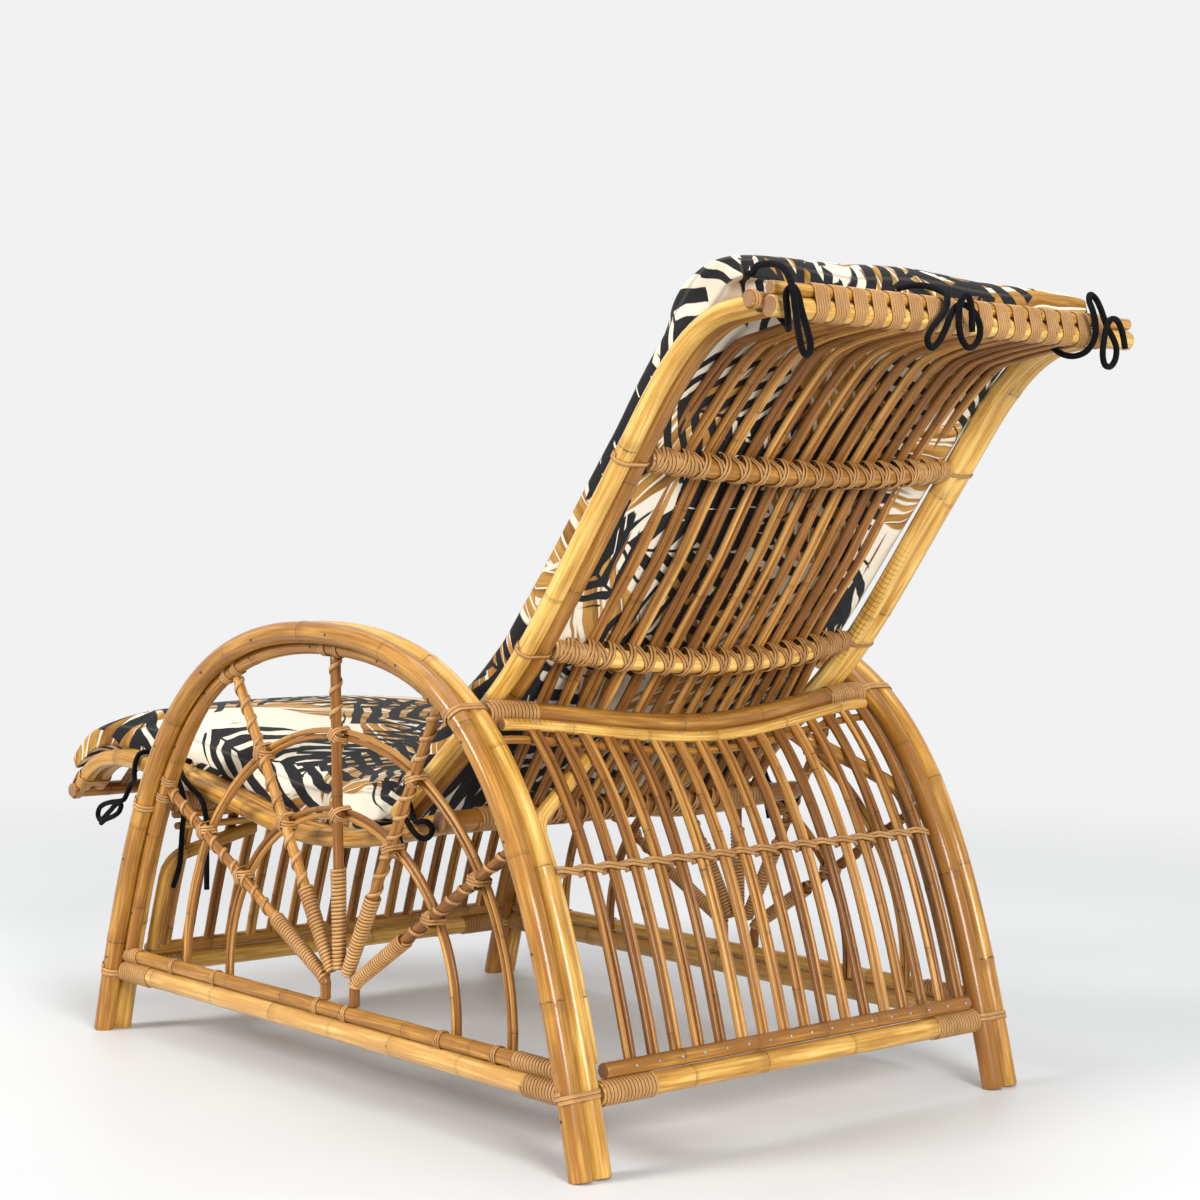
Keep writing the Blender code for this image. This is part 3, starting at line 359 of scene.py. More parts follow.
def where(test, low, high):
    """The value in low..high at which test changes sign."""
    rising = test(high) > 0
    for _ in range(40):
        middle = (low + high) / 2
        if (test(middle) > 0) == rising:
            high = middle
        else:
            low = middle
    return (low + high) / 2


def across(x, flat):
    return Vector((x, flat.x, flat.y))


# %% [markdown]
# ## The tie cords
# Each cord is one open line that starts in the cushion's edge and is tied round the poles. The bows
# are modelled as the cord really runs, over, under and back through itself, so that the loops hang
# free and the shadow under each is right.

# %% Cord routes
CORD_DIAMETER = 0.0066
TENTHS = 10000            # the routes are in tenths of a millimetre
TIE_TOP_LEFT = [
    (2262, 5957, 8645), (2262, 5965, 8584), (2263, 6000, 8515), (2265, 6060, 8450),
    (2277, 6135, 8390), (2310, 6225, 8335), (2395, 6325, 8295), (2500, 6425, 8285),
    (2595, 6515, 8320), (2665, 6575, 8395), (2715, 6605, 8495), (2745, 6630, 8590),
    (2705, 6670, 8640), (2655, 6690, 8570), (2600, 6690, 8420), (2525, 6690, 8260),
    (2475, 6690, 8120), (2510, 6690, 8030), (2585, 6695, 8060), (2645, 6705, 8190),
    (2705, 6725, 8350), (2750, 6740, 8490), (2775, 6735, 8610), (2775, 6690, 8720),
    (2765, 6600, 8815), (2745, 6480, 8855), (2730, 6350, 8870), (2700, 6230, 8870),
    (2660, 6135, 8850), (2616, 6066, 8818), (2613, 6003, 8806)]
TIE_TOP_MIDDLE = [
    (353, 5876, 8845), (354, 5941, 8856), (360, 6090, 8865), (360, 6240, 8850), (365, 6400, 8805),
    (395, 6540, 8745), (445, 6600, 8670), (490, 6620, 8590), (570, 6650, 8530), (690, 6682, 8450),
    (810, 6705, 8360), (870, 6718, 8260), (810, 6723, 8190), (690, 6713, 8260), (590, 6703, 8380),
    (515, 6698, 8505), (440, 6703, 8610), (340, 6715, 8640), (210, 6725, 8590), (120, 6735, 8480),
    (110, 6740, 8350), (190, 6745, 8250), (310, 6759, 8220), (410, 6764, 8290), (460, 6769, 8410),
    (480, 6779, 8540), (470, 6794, 8660), (405, 6809, 8720), (345, 6814, 8650), (320, 6809, 8510),
    (300, 6799, 8370)]
TIE_TOP_RIGHT = [
    (-1876, 5969, 8735), (-1874, 6025, 8735), (-1871, 6050, 8670), (-1870, 6055, 8560),
    (-1870, 6060, 8460), (-1870, 6100, 8385), (-1873, 6185, 8320), (-1880, 6290, 8280),
    (-1890, 6400, 8275), (-1900, 6515, 8315), (-1912, 6590, 8405), (-1918, 6620, 8510),
    (-1895, 6630, 8620), (-1850, 6630, 8730), (-1825, 6600, 8835), (-1880, 6570, 8905),
    (-1950, 6590, 8865), (-1970, 6640, 8760), (-1975, 6685, 8650), (-2020, 6695, 8560),
    (-2110, 6695, 8470), (-2180, 6695, 8360), (-2165, 6695, 8240), (-2080, 6695, 8160),
    (-1975, 6700, 8180), (-1920, 6715, 8290), (-1910, 6735, 8420), (-1920, 6755, 8550),
    (-1965, 6775, 8640), (-2050, 6785, 8640), (-2130, 6780, 8570), (-2195, 6770, 8470),
    (-2250, 6755, 8360)]
TIE_JUNCTION = [
    (2527, 950, 3665), (2590, 936, 3680), (2665, 935, 3665), (2735, 955, 3590), (2775, 1010, 3470),
    (2780, 1080, 3330), (2790, 1150, 3215), (2810, 1240, 3170), (2825, 1350, 3190),
    (2835, 1470, 3190), (2840, 1560, 3130), (2850, 1530, 3050), (2855, 1430, 3010),
    (2855, 1320, 3030), (2860, 1220, 3095), (2865, 1130, 3180), (2870, 1040, 3230),
    (2875, 975, 3170), (2870, 985, 3050), (2865, 1030, 2920), (2860, 1070, 2790)]
TIE_FRONT_LEFT = [
    (2548, -4660, 3426), (2607, -4657, 3447), (2672, -4660, 3450), (2730, -4670, 3420),
    (2768, -4685, 3335), (2772, -4710, 3225), (2740, -4760, 3135), (2685, -4850, 3085),
    (2630, -4960, 3050), (2600, -5070, 3000), (2592, -5145, 2930), (2600, -5190, 2850),
    (2612, -5240, 2785), (2620, -5340, 2755), (2620, -5460, 2738), (2615, -5600, 2712),
    (2610, -5740, 2675), (2605, -5860, 2615), (2605, -5900, 2525), (2615, -5830, 2465),
    (2635, -5710, 2500), (2660, -5570, 2570), (2685, -5430, 2640), (2705, -5300, 2710),
    (2715, -5180, 2760), (2735, -5095, 2730), (2750, -5120, 2650), (2755, -5220, 2590),
    (2755, -5340, 2550), (2755, -5460, 2510), (2750, -5570, 2455)]
TAIL_FRONT = [
    (2520, -3911, 3404), (2583, -3908, 3424), (2650, -3895, 3425), (2710, -3855, 3400),
    (2757, -3785, 3345), (2790, -3695, 3275), (2815, -3595, 3195), (2828, -3505, 3100),
    (2832, -3447, 2990), (2830, -3435, 2880), (2815, -3465, 2770), (2795, -3515, 2665),
    (2787, -3545, 2550), (2785, -3562, 2430), (2785, -3568, 2310), (2785, -3585, 2190),
    (2785, -3625, 2070), (2785, -3682, 1960), (2785, -3745, 1850)]
TAIL_REAR = [
    (2518, -3786, 3393), (2581, -3783, 3414), (2645, -3765, 3412), (2700, -3725, 3385),
    (2750, -3660, 3335), (2780, -3575, 3270), (2788, -3480, 3200), (2788, -3370, 3140),
    (2788, -3250, 3090), (2788, -3140, 3030), (2788, -3060, 2940), (2788, -3015, 2830),
    (2788, -2992, 2710), (2788, -2985, 2590), (2788, -2982, 2470), (2788, -2980, 2340),
    (2788, -2978, 2210), (2788, -2976, 2060), (2788, -2974, 1910)]


def tie_cord(name, node, route):
    """One free cord as a round curve along its route; its real length is printed."""
    line = smooth_through([[value / TENTHS for value in spot] for spot in route], 6)
    curve = bpy.data.curves.new(name, "CURVE")
    curve.dimensions = "3D"
    curve.bevel_depth = CORD_DIAMETER / 2
    curve.bevel_resolution = 3
    curve.use_fill_caps = True
    spline = curve.splines.new("POLY")
    spline.points.add(len(line) - 1)
    for knot, spot in zip(spline.points, line):
        knot.co = (*spot, 1.0)
    spline.use_smooth = True
    curve.materials.append(cord_look)
    cord = placed(name, curve)
    length = sum((end - start).length for start, end in zip(line, line[1:]))
    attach(cord, "root")
    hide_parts(node)
    print(name, round(length, 3), "m")


tie_cord("tie_cord_top_left", "tie_top_left", TIE_TOP_LEFT)
tie_cord("tie_cord_top_middle", "tie_top_middle", TIE_TOP_MIDDLE)
tie_cord("tie_cord_top_right", "tie_top_right", TIE_TOP_RIGHT)
tie_cord("tie_cord_seat_back_left", "tie_junction_left", TIE_JUNCTION)
tie_cord("tie_cord_seat_back_right", "tie_junction_right", [(-x, y, z) for x, y, z in TIE_JUNCTION])
tie_cord("tie_cord_front_left", "tie_front_left", TIE_FRONT_LEFT)
tie_cord("loose_cord_tail_front", "tail_front", TAIL_FRONT)
tie_cord("loose_cord_tail_rear", "tail_rear", TAIL_REAR)

# %% [markdown]
# ## Pole, rod and cane finishes
# Rattan grows as a solid cane with a hard skin. The thick poles are peeled, sanded and lacquered, so
# they are honey coloured and glossy with long fine streaks. A dark ring marks each joint where a leaf
# grew. The streaks follow the pole because they are read from its own length and turn.

# %% Rattan finish
def along_pole(graph, squeeze):
    """A place on a pole that has no seam: its turn bent into a circle, and its length squeezed."""
    uv = graph.node("ShaderNodeUVMap", {"uv_map": "UVMap"})
    split = graph.node("ShaderNodeSeparateXYZ", None, {"Vector": uv.outputs[0]})
    turn = Value(graph, split.outputs["X"]) * (2 * math.pi)
    length = Value(graph, split.outputs["Y"])
    return turn, length, graph.vector(turn.math("COSINE"), turn.math("SINE"), length * squeeze)


KNOT_LINE = 0.0008        # width of the dark ring at a joint
KNOT_STAIN = 0.012        # how far its stain runs along the pole
CRACKS_PER_METRE = 150.0  # short cracks across a pole where it was bent hard


def rattan(name, dark, middle, light, roughness, coat, streaks, cracks=0.0):
    """A lacquered rattan skin: three browns mixed by streaks, blotches and joint rings."""
    look, graph, shader = new_finish(name, roughness, Coat_Weight=coat, Coat_Roughness=0.13,
                                     Coat_IOR=1.45, Specular_IOR_Level=0.15)
    turn, length, spot = along_pole(graph, 9.0)
    long_spot = graph.vector_sum("MULTIPLY", spot, (1.0, 1.0, 0.35))
    streak = graph.noise(long_spot, streaks, 4.0, 0.6)
    blotch = graph.noise(spot, 1.1, 3.0)
    speck = graph.noise(graph.vector_sum("MULTIPLY", spot, (1.0, 1.0, 6.0)), 5.0, 3.0, 0.65)
    shade = graph.attribute("shade")
    tone = (streak * 0.62 + blotch * 0.55 + shade * 0.35 - 0.30).clamped()
    colour = graph.mix(tone.above(0.44, 0.18), dark, middle)
    colour = graph.mix(tone.above(0.65, 0.16), colour, light)
    colour = graph.mix(speck.above(0.70, 0.05) * 0.55, colour, darker(dark, 0.35))
    ragged = graph.noise(spot, 3.5, 2.0) - 0.5
    off = graph.attribute("from_knot") + ragged * 0.004
    line = abs(off).above(KNOT_LINE, KNOT_LINE * 0.6) * -1.0 + 1.0
    stain = (abs(off - KNOT_STAIN * 0.4) / KNOT_STAIN * -1.0 + 1.0).clamped()
    stained = (stain * (ragged + 0.75)).clamped() * 0.45
    colour = graph.mix(stained, colour, darker(dark, 0.55))
    colour = graph.mix((line * (ragged * 2.5 + 0.55)).clamped(), colour, (0.060, 0.025, 0.009))
    if cracks:
        row = abs((length * CRACKS_PER_METRE + ragged * 0.3).math("FRACT") - 0.5)
        zone = graph.noise(graph.vector(length * 2.4, shade * 9.0, 0.0), 1.0, 1.0)
        bent = (row * -1.0 + 0.07).above(0.0, 0.03) * zone.above(0.63, 0.02)
        bent = bent * (turn.math("COSINE") + ragged).above(0.45, 0.15) * cracks
        colour = graph.mix(bent, colour, (0.050, 0.020, 0.008))
    paint(graph, shader, colour, streak * 0.5 - line * 0.8 + speck * 0.3, 0.0005, 0.35,
          blotch * 0.18 + (roughness - 0.06))
    return look


pole_look = rattan("Lacquered honey pole", (0.28, 0.112, 0.018), (0.62, 0.325, 0.058),
                   (0.90, 0.63, 0.20), 0.37, 0.55, 3.2, cracks=0.8)
rod_look = rattan("Brown rattan rod", (0.19, 0.070, 0.014), (0.45, 0.204, 0.043),
                  (0.74, 0.42, 0.125), 0.42, 0.32, 2.6)

# A paler copy of the pole finish for the lower side rails: painted light, standing in for the strong
# light that these rails catch.
lower_rail_painted_light_look = rattan("Paler pole with painted light", (0.52, 0.275, 0.075), (0.85, 0.550, 0.185),
                    (0.95, 0.760, 0.360), 0.38, 0.50, 3.2)

cut_look, graph, shader = new_finish("Cut pole end", 0.7)
place = graph.place()
pores = graph.value("ShaderNodeTexVoronoi", None, {"Vector": place, "Scale": 1700.0})
stain = graph.noise(place, 60.0)
colour = graph.mix(pores.above(0.32, 0.2), (0.10, 0.045, 0.020), (0.36, 0.19, 0.085))
paint(graph, shader, graph.mix(stain.above(0.5, 0.2) * 0.6, colour, (0.20, 0.095, 0.040)), pores,
      0.0004, 0.6)

# %% [markdown]
# ## Sweeping a pole along its line
# A real pole is not a pipe: it swells a little at each joint, its line wanders, and its cut ends are
# slightly rounded. The pole is a mesh swept along the measured line, with its length and turn kept
# as a UV map and the distance to the nearest joint kept as an attribute for the finish.

# %% Swept poles
KNOT_REACH = 0.016
KNOT_RINGS = (-0.016, -0.006, -0.0022, 0.0, 0.0022, 0.006, 0.016)
KNOT_SWELL = {0.0: 0.045, 0.0022: 0.030, 0.006: 0.010, 0.016: 0.0}
END_ROUNDING = 0.0012
WANDER_SEED = 1795761195  # any fixed number, so that every run bends the thin rods alike

noise.seed_set(WANDER_SEED)


class PoleMesh:
    """Collects swept poles into one mesh piece."""

    def __init__(self, sides=14, step=0.011, wander=0.0, knots=(0.22, 0.38), seed=1):
        self.sides = sides
        self.step = step
        self.wander = wander
        self.knots = knots
        self.draw = random.Random(seed)
        self.verts = []
        self.faces = []
        self.uvs = []
        self.caps = []
        self.from_knot = []
        self.shade = []

    def stations(self, line):
        knots = []
        s = self.draw.uniform(0.3, 1.0) * self.knots[0]
        while s < line.length:
            knots.append(s)
            s += self.draw.uniform(*self.knots)
        count = max(2, math.ceil(line.length / self.step))
        marks = {line.length * i / count for i in range(1, count)}
        marks |= {knot + reach for knot in knots for reach in KNOT_RINGS}
        inside = sorted(s for s in marks if 3 * END_ROUNDING < s < line.length - 3 * END_ROUNDING)
        kept = [0.0, END_ROUNDING]
        for s in inside:
            if s - kept[-1] > 0.0008:
                kept.append(s)
        return kept + [line.length - END_ROUNDING, line.length], knots

    def swell(self, off):
        reach = [abs(ring) for ring in KNOT_RINGS[3:]]
        for near, far in zip(reach, reach[1:]):
            if abs(off) <= far:
                share = (abs(off) - near) / (far - near)
                return KNOT_SWELL[near] * (1 - share) + KNOT_SWELL[far] * share
        return 0.0

    def add(self, points, radius, up=None):
        line = Line(points)
        marks, knots = self.stations(line)
        shade = self.draw.random()
        start_length = self.draw.uniform(0.0, 40.0)
        drift = Vector((self.draw.uniform(-50, 50) for _ in range(3)))
        normal = up or Vector((1, 0, 0))
        if abs(normal.dot(line.facing(0.0))) > 0.9:
            normal = Vector((0, 0, 1))
        first = len(self.verts)
        count = self.sides
        for index, s in enumerate(marks):
            facing = line.facing(s)
            normal = (normal - facing * normal.dot(facing)).normalized()
            side = facing.cross(normal)
            centre = line.at(s)
            fade = min(1.0, 8 * min(s, line.length - s) / line.length)
            centre = centre + noise.noise_vector(centre * 9.0 + drift) * self.wander * fade
            off = min((s - knot for knot in knots), key=abs, default=1.0)
            reach = radius * (1.0 + self.swell(off))
            if index in (0, len(marks) - 1):
                reach = radius - END_ROUNDING * 0.8
            for turn in range(count):
                angle = 2 * math.pi * turn / count
                spot = centre + (normal * math.cos(angle) + side * math.sin(angle)) * reach
                self.verts.append(spot)
                self.from_knot.append(min(KNOT_REACH, max(-KNOT_REACH, off)))
                self.shade.append(shade)
        for index, (low, high) in enumerate(zip(marks, marks[1:])):
            row = first + index * count
            for turn in range(count):
                on = (turn + 1) % count
                self.faces.append((row + turn, row + on, row + count + on, row + count + turn))
                u0, u1 = turn / count, (turn + 1) / count
                v0, v1 = start_length + low, start_length + high
                self.uvs.append(((u0, v0), (u1, v0), (u1, v1), (u0, v1)))
        last = first + (len(marks) - 1) * count
        for ring in (range(first + count - 1, first - 1, -1), range(last, last + count)):
            self.caps.append(len(self.faces))
            self.faces.append(tuple(ring))
            self.uvs.append(tuple((0.5, start_length) for _ in range(count)))

    def piece(self, name, look):
        mesh = bpy.data.meshes.new(name)
        mesh.from_pydata(self.verts, [], self.faces)
        mesh.materials.append(look)
        mesh.materials.append(cut_look)
        mesh.shade_smooth()
        layer = mesh.uv_layers.new(name="UVMap")
        layer.data.foreach_set("uv", [value for face in self.uvs for uv in face for value in uv])
        for label, values in (("from_knot", self.from_knot), ("shade", self.shade)):
            mesh.attributes.new(label, "FLOAT", "POINT").data.foreach_set("value", values)
        for index in self.caps:
            mesh.polygons[index].material_index = 1
            mesh.polygons[index].use_smooth = False
        return placed(name, mesh)


def stand_for(piece, slot, *nodes):
    """The piece rides on the chair and replaces its frame nodes. The slot it is given is not used."""
    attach(piece, "root")
    if nodes:
        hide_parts(*nodes)
    return piece


def one_pole(name, node, points, radius, look=None, slot="pole", seed=1, **settings):
    mesh = PoleMesh(seed=seed, **settings)
    mesh.add(points, radius)
    return stand_for(mesh.piece(name, look or pole_look), slot, node)

# %% [markdown]
# ## The arched side frames
# Each side is two thick poles side by side, steamed and bent over a jig into one arch from the front
# foot to the back foot. A thinner liner pole is nailed into the valley under them. Two rails join
# the legs near the floor.

# %% Arches
TOUCH = 0.0003
ARCH_RADIUS = 0.0123
ARCH_OUTER_X = 0.328
ARCH_INNER_X = ARCH_OUTER_X - 2 * ARCH_RADIUS - TOUCH
SIDE_X = (ARCH_OUTER_X + ARCH_INNER_X) / 2
INNER_FACE_X = ARCH_INNER_X - ARCH_RADIUS - TOUCH
FOOT_Y = 0.4555
LEG_LEAN = math.radians(13.6)
LEG_PULL = 0.36
CROWN_PULL = 0.285
CROWN_HEIGHT = 0.519
LINER_RADIUS = 0.0085
LOWER_RAIL_RADIUS = 0.012
LOWER_RAIL_HEIGHT = 0.078
UPPER_RAIL_RADIUS = 0.0085
UPPER_RAIL_HEIGHT = LOWER_RAIL_HEIGHT + LOWER_RAIL_RADIUS + UPPER_RAIL_RADIUS + TOUCH
ARCH_STEPS = 160          # for each half of the drawn curve
ARCH_STEP = 0.012         # between the places at which a pole on the curve is swept


def arch_curve():
    """From the front foot over the crown to the back foot."""
    crown = Vector((0.0, CROWN_HEIGHT))
    foot = Vector((FOOT_Y, 0.0))
    shoulder = crown + Vector((CROWN_PULL, 0.0))
    knee = foot + LEG_PULL * Vector((-math.sin(LEG_LEAN), math.cos(LEG_LEAN)))
    half = [bezier(crown, shoulder, knee, foot, i / ARCH_STEPS) for i in range(ARCH_STEPS + 1)]
    return SideCurve([Vector((-p.x, p.y)) for p in reversed(half[1:])] + half)


ARCH = arch_curve()
ARCH_HALF = ARCH.length / 2


def arch_at(s, inset=0.0):
    return ARCH.at(ARCH_HALF + s, -inset)


def arch_down_to(height):
    return where(lambda s: arch_at(s).y - height, 0.0, ARCH_HALF)


LOWER_RAIL_S = arch_down_to(LOWER_RAIL_HEIGHT)
LINER_INSET = math.sqrt((ARCH_RADIUS + LINER_RADIUS) ** 2 - (ARCH_OUTER_X - SIDE_X) ** 2)
LINER_END = arch_down_to(UPPER_RAIL_HEIGHT + UPPER_RAIL_RADIUS + LINER_RADIUS * 0.3)
LINER = SideCurve([arch_at(s, LINER_INSET) for s in spread(-LINER_END, LINER_END, 0.008)])
LEG_SLOPE = math.cos(LEG_LEAN)
SIDES = (("left", 1), ("right", -1))


def rail_reach(height):
    """How far a side rail runs from the middle, into the valley between the two leg poles."""
    return arch_at(arch_down_to(height)).x - ARCH_RADIUS * 0.75 / LEG_SLOPE


for side, sign in SIDES:
    stops = spread(-ARCH_HALF, ARCH_HALF, ARCH_STEP)
    for number, (name, x) in enumerate((("outer", ARCH_OUTER_X), ("inner", ARCH_INNER_X))):
        path = [across(sign * x, arch_at(s)) for s in stops]
        one_pole(f"bent_arch_{name}_{side}", f"{side}_arch_{name}", path, ARCH_RADIUS, sides=18,
                 knots=(0.22, 0.42), seed=11 + number + 5 * sign)
    path = [across(sign * SIDE_X, flat) for flat in LINER.points]
    one_pole(f"arch_liner_{side}", f"{side}_arch_liner", path, LINER_RADIUS, seed=31 + sign,
             knots=(0.17, 0.34))
    for name, height, radius in (("lower", LOWER_RAIL_HEIGHT, LOWER_RAIL_RADIUS),
                                 ("upper", UPPER_RAIL_HEIGHT, UPPER_RAIL_RADIUS)):
        reach = rail_reach(height)
        ends = [Vector((sign * SIDE_X, y, height)) for y in (-reach, reach)]
        # The lower side rails take the paler copy of the pole finish, which is painted light.
        one_pole(f"side_rail_{name}_{side}", f"{side}_side_rail_{name}", ends, radius,
                 lower_rail_painted_light_look if name == "lower" else pole_look,
                 seed=int(height * 1000) + sign, knots=(0.20, 0.36))

# %% [markdown]
# ## The sunburst
# Five spokes fan out from a hub on the side rail to the arch. Two rings, each a pair of thin canes,
# cross them in half circles. The outer spokes bend down at the hub and stand on the rail.

# %% Sunburst
SPOKE_RADIUS = 0.006
SPOKE_COUNT = 5
SPOKE_MIDDLE = math.radians(92.3)
SPOKE_STEP = math.radians(29.45)
HUB = Vector((0.030, 0.116))
HUB_RADIUS = 0.029
STEM_SPREAD = 0.0275
STEM_BEND = 0.010
RING_CENTRE = Vector((0.010, 0.110))
RING_CANE_RADIUS = 0.0033
RING_CANE_GAP = 0.0006
RING_FOOT_HEIGHT = 0.0915
RING_RISE = 0.955
LARGE_RING_RADIUS = 0.3095
SMALL_RING_RADIUS = 0.2170
RING_X = SIDE_X - UPPER_RAIL_RADIUS - RING_CANE_RADIUS - TOUCH
SPOKE_X = RING_X + RING_CANE_RADIUS + SPOKE_RADIUS + TOUCH
STEM_FOOT = UPPER_RAIL_HEIGHT + UPPER_RAIL_RADIUS + TOUCH


def ray(angle):
    return Vector((math.cos(angle), math.sin(angle)))


def turned(first, last, share):
    """The first arm turned a share of the way to the last one."""
    turn = math.atan2(first.x * last.y - first.y * last.x, first.dot(last)) * share
    return Vector((first.x * math.cos(turn) - first.y * math.sin(turn),
                   first.x * math.sin(turn) + first.y * math.cos(turn)))


def rounded(points, radius, steps=8):
    """The points joined by straight runs, with each inner corner turned into an arc."""
    path = [points[0]]
    for before, corner, after in zip(points, points[1:], points[2:]):
        back = (before - corner).normalized()
        on = (after - corner).normalized()
        half = back.angle(on) / 2
        reach = radius / math.tan(half)
        centre = corner + (back + on).normalized() * radius / math.sin(half)
        for step in range(steps + 1):
            path.append(centre + turned(corner + back * reach - centre,
                                        corner + on * reach - centre, step / steps))
    path.append(points[-1])
    return path


def spoke_top(angle):
    """Length along the liner at which a spoke meets it, and the spoke's reach from the hub."""
    def past(s):
        to_liner = LINER.at(s) - HUB
        return math.atan2(to_liner.y, to_liner.x) - angle
    s = where(past, LINER.length * 0.1, LINER.length * 0.9)
    run = LINER.run(s)
    square = abs(run.x * ray(angle).y - run.y * ray(angle).x)
    pull = (LINER_RADIUS + SPOKE_RADIUS * math.sqrt(1 - square * square)) / square
    return s, (LINER.at(s) - HUB).length - pull


def spoke_angle(number):
    return SPOKE_MIDDLE + (SPOKE_COUNT // 2 - number) * SPOKE_STEP


def spoke_line(number):
    """The spoke in the side view, from its top to its foot."""
    angle = spoke_angle(number)
    top = HUB + ray(angle) * spoke_top(angle)[1]
    if number in (0, SPOKE_COUNT - 1):
        knee = HUB + ray(angle) * STEM_SPREAD / abs(math.cos(angle))
        return rounded([top, knee, Vector((knee.x, STEM_FOOT))], STEM_BEND)
    return [top, HUB + ray(angle) * HUB_RADIUS]


def ring_line(radius, shift):
    """Up from the rail, over in a flattened half circle and down to the rail."""
    wide, tall = radius + shift, radius * RING_RISE + shift
    turns = [ray(math.pi * (1 - i / 60)) for i in range(61)]
    arc = [RING_CENTRE + Vector((wide * turn.x, tall * turn.y)) for turn in turns]
    feet = [Vector((flat.x, RING_FOOT_HEIGHT + RING_CANE_RADIUS)) for flat in (arc[0], arc[-1])]
    return [feet[0]] + arc + [feet[1]]


for side, sign in SIDES:
    for number in range(SPOKE_COUNT):
        path = [across(sign * SPOKE_X, flat) for flat in spoke_line(number)]
        one_pole(f"sunburst_spoke_{number + 1}_{side}", f"{side}_spoke_{number + 1}", path,
                 SPOKE_RADIUS, rod_look, "rod", seed=60 + number + 7 * sign, sides=12,
                 step=0.01, wander=0.0006, knots=(0.20, 0.34))
    for name, radius in (("large", LARGE_RING_RADIUS), ("small", SMALL_RING_RADIUS)):
        canes = PoleMesh(seed=80 + 5 * sign, sides=10, wander=0.0005, knots=(0.16, 0.30))
        offset = RING_CANE_RADIUS + RING_CANE_GAP / 2
        for shift in (offset, -offset):
            canes.add([across(sign * RING_X, flat) for flat in ring_line(radius, shift)],
                      RING_CANE_RADIUS)
        stand_for(canes.piece(f"{name}_ring_canes_{side}", rod_look), "cane",
                  f"{side}_ring_{name}")

# %% [markdown]
# ## Seat and back rails
# Two poles side by side run up each side of the seat and two more up each side of the back. The seat
# rails roll over into a scroll at the front. The back rails bend forward into the top rail.

# %% Seat and back
SEAT_RADIUS = 0.0110
SEAT_OUTER_X = 0.262
SEAT_LINE = [(-0.627, 0.288), (-0.600, 0.314), (-0.560, 0.329), (-0.500, 0.332), (-0.371, 0.319),
             (-0.159, 0.282), (-0.056, 0.279), (0.031, 0.290), (0.147, 0.317)]
BACK_RADIUS = 0.0105
BACK_LINE = [(0.047, 0.303), (0.158, 0.395), (0.274, 0.501), (0.406, 0.678), (0.489, 0.790),
             (0.550, 0.840), (0.6155, 0.853)]
SCROLL_RAIL_RADIUS = 0.0095
JUNCTION_RADIUS = 0.0115
SCROLL_OVERHANG = 0.002
JUNCTION_OVERHANG = 0.004
CROSS_RADIUS = 0.0105
TOP_FRONT_RADIUS = 0.0080
TOP_REAR_RADIUS = 0.0105
TOP_THIN_RADIUS = 0.0065
TOP_REAR_DROP = math.radians(20)
TOP_FRONT_OVERHANG = 0.012
TOP_REAR_OVERHANG = 0.002

SEAT = SideCurve(smooth_through(SEAT_LINE, 12))
BACK = SideCurve(smooth_through(BACK_LINE, 12))
SEAT_INNER_X = SEAT_OUTER_X - 2 * SEAT_RADIUS - TOUCH
BACK_INNER_X = SEAT_OUTER_X - 2 * BACK_RADIUS - TOUCH
JUNCTION = SEAT.at(SEAT.length + JUNCTION_RADIUS + TOUCH)
SCROLL_RAIL = SEAT.at(-SCROLL_RAIL_RADIUS - TOUCH)
BACK_START = where(lambda s: SEAT.height_over(BACK.at(s, -BACK_RADIUS)) - SEAT_RADIUS,
                   0.0, BACK.length / 4)
TOP_FRONT = BACK.at(BACK.length + TOP_FRONT_RADIUS + TOUCH)
TOP_REAR = TOP_FRONT + ray(-TOP_REAR_DROP) * (TOP_FRONT_RADIUS + TOP_REAR_RADIUS + TOUCH)
TOP_THIN = TOP_REAR + Vector((0.0, TOP_REAR_RADIUS + TOP_THIN_RADIUS + TOUCH))
BACK_SIDE = SEAT_OUTER_X + BACK_RADIUS


def back_at_y(y):
    return where(lambda s: BACK.at(s).x - y, 0.0, BACK.length)


def straight_across(flat, half):
    return [across(-half, flat), across(half, flat)]


for side, sign in SIDES:
    for name, seat_x, back_x in (("outer", SEAT_OUTER_X, SEAT_OUTER_X),
                                 ("inner", SEAT_INNER_X, BACK_INNER_X)):
        path = [across(sign * seat_x, flat) for flat in SEAT.points]
        one_pole(f"seat_rail_{name}_{side}", f"{side}_seat_rail_{name}", path, SEAT_RADIUS,
                 seed=105 + 3 * sign + (name == "outer"), knots=(0.22, 0.40))
        path = [across(sign * back_x, BACK.at(s)) for s in spread(BACK_START, BACK.length, 0.01)]
        one_pole(f"back_rail_{name}_{side}", f"{side}_back_rail_{name}", path, BACK_RADIUS,
                 seed=125 + 3 * sign + (name == "outer"), knots=(0.24, 0.42))

one_pole("top_rail_front_pole", "top_rail_front",
         straight_across(TOP_FRONT, BACK_SIDE + TOP_FRONT_OVERHANG), TOP_FRONT_RADIUS, seed=141)
one_pole("top_rail_thin_pole", "top_rail_thin",
         straight_across(TOP_THIN, BACK_SIDE + TOP_REAR_OVERHANG), TOP_THIN_RADIUS, seed=142)
one_pole("seat_back_junction_rail", "junction_rail",
         straight_across(JUNCTION, SEAT_OUTER_X + SEAT_RADIUS + JUNCTION_OVERHANG),
         JUNCTION_RADIUS, seed=143)

# %% [markdown]
# ## Cross rails and rods of the back
# Sixteen pairs of thin rods run from the junction rail up in front of two bowed cross rails and roll
# over into the thick top pole. Pairs are used because one thin rod alone would sag under a sitter.

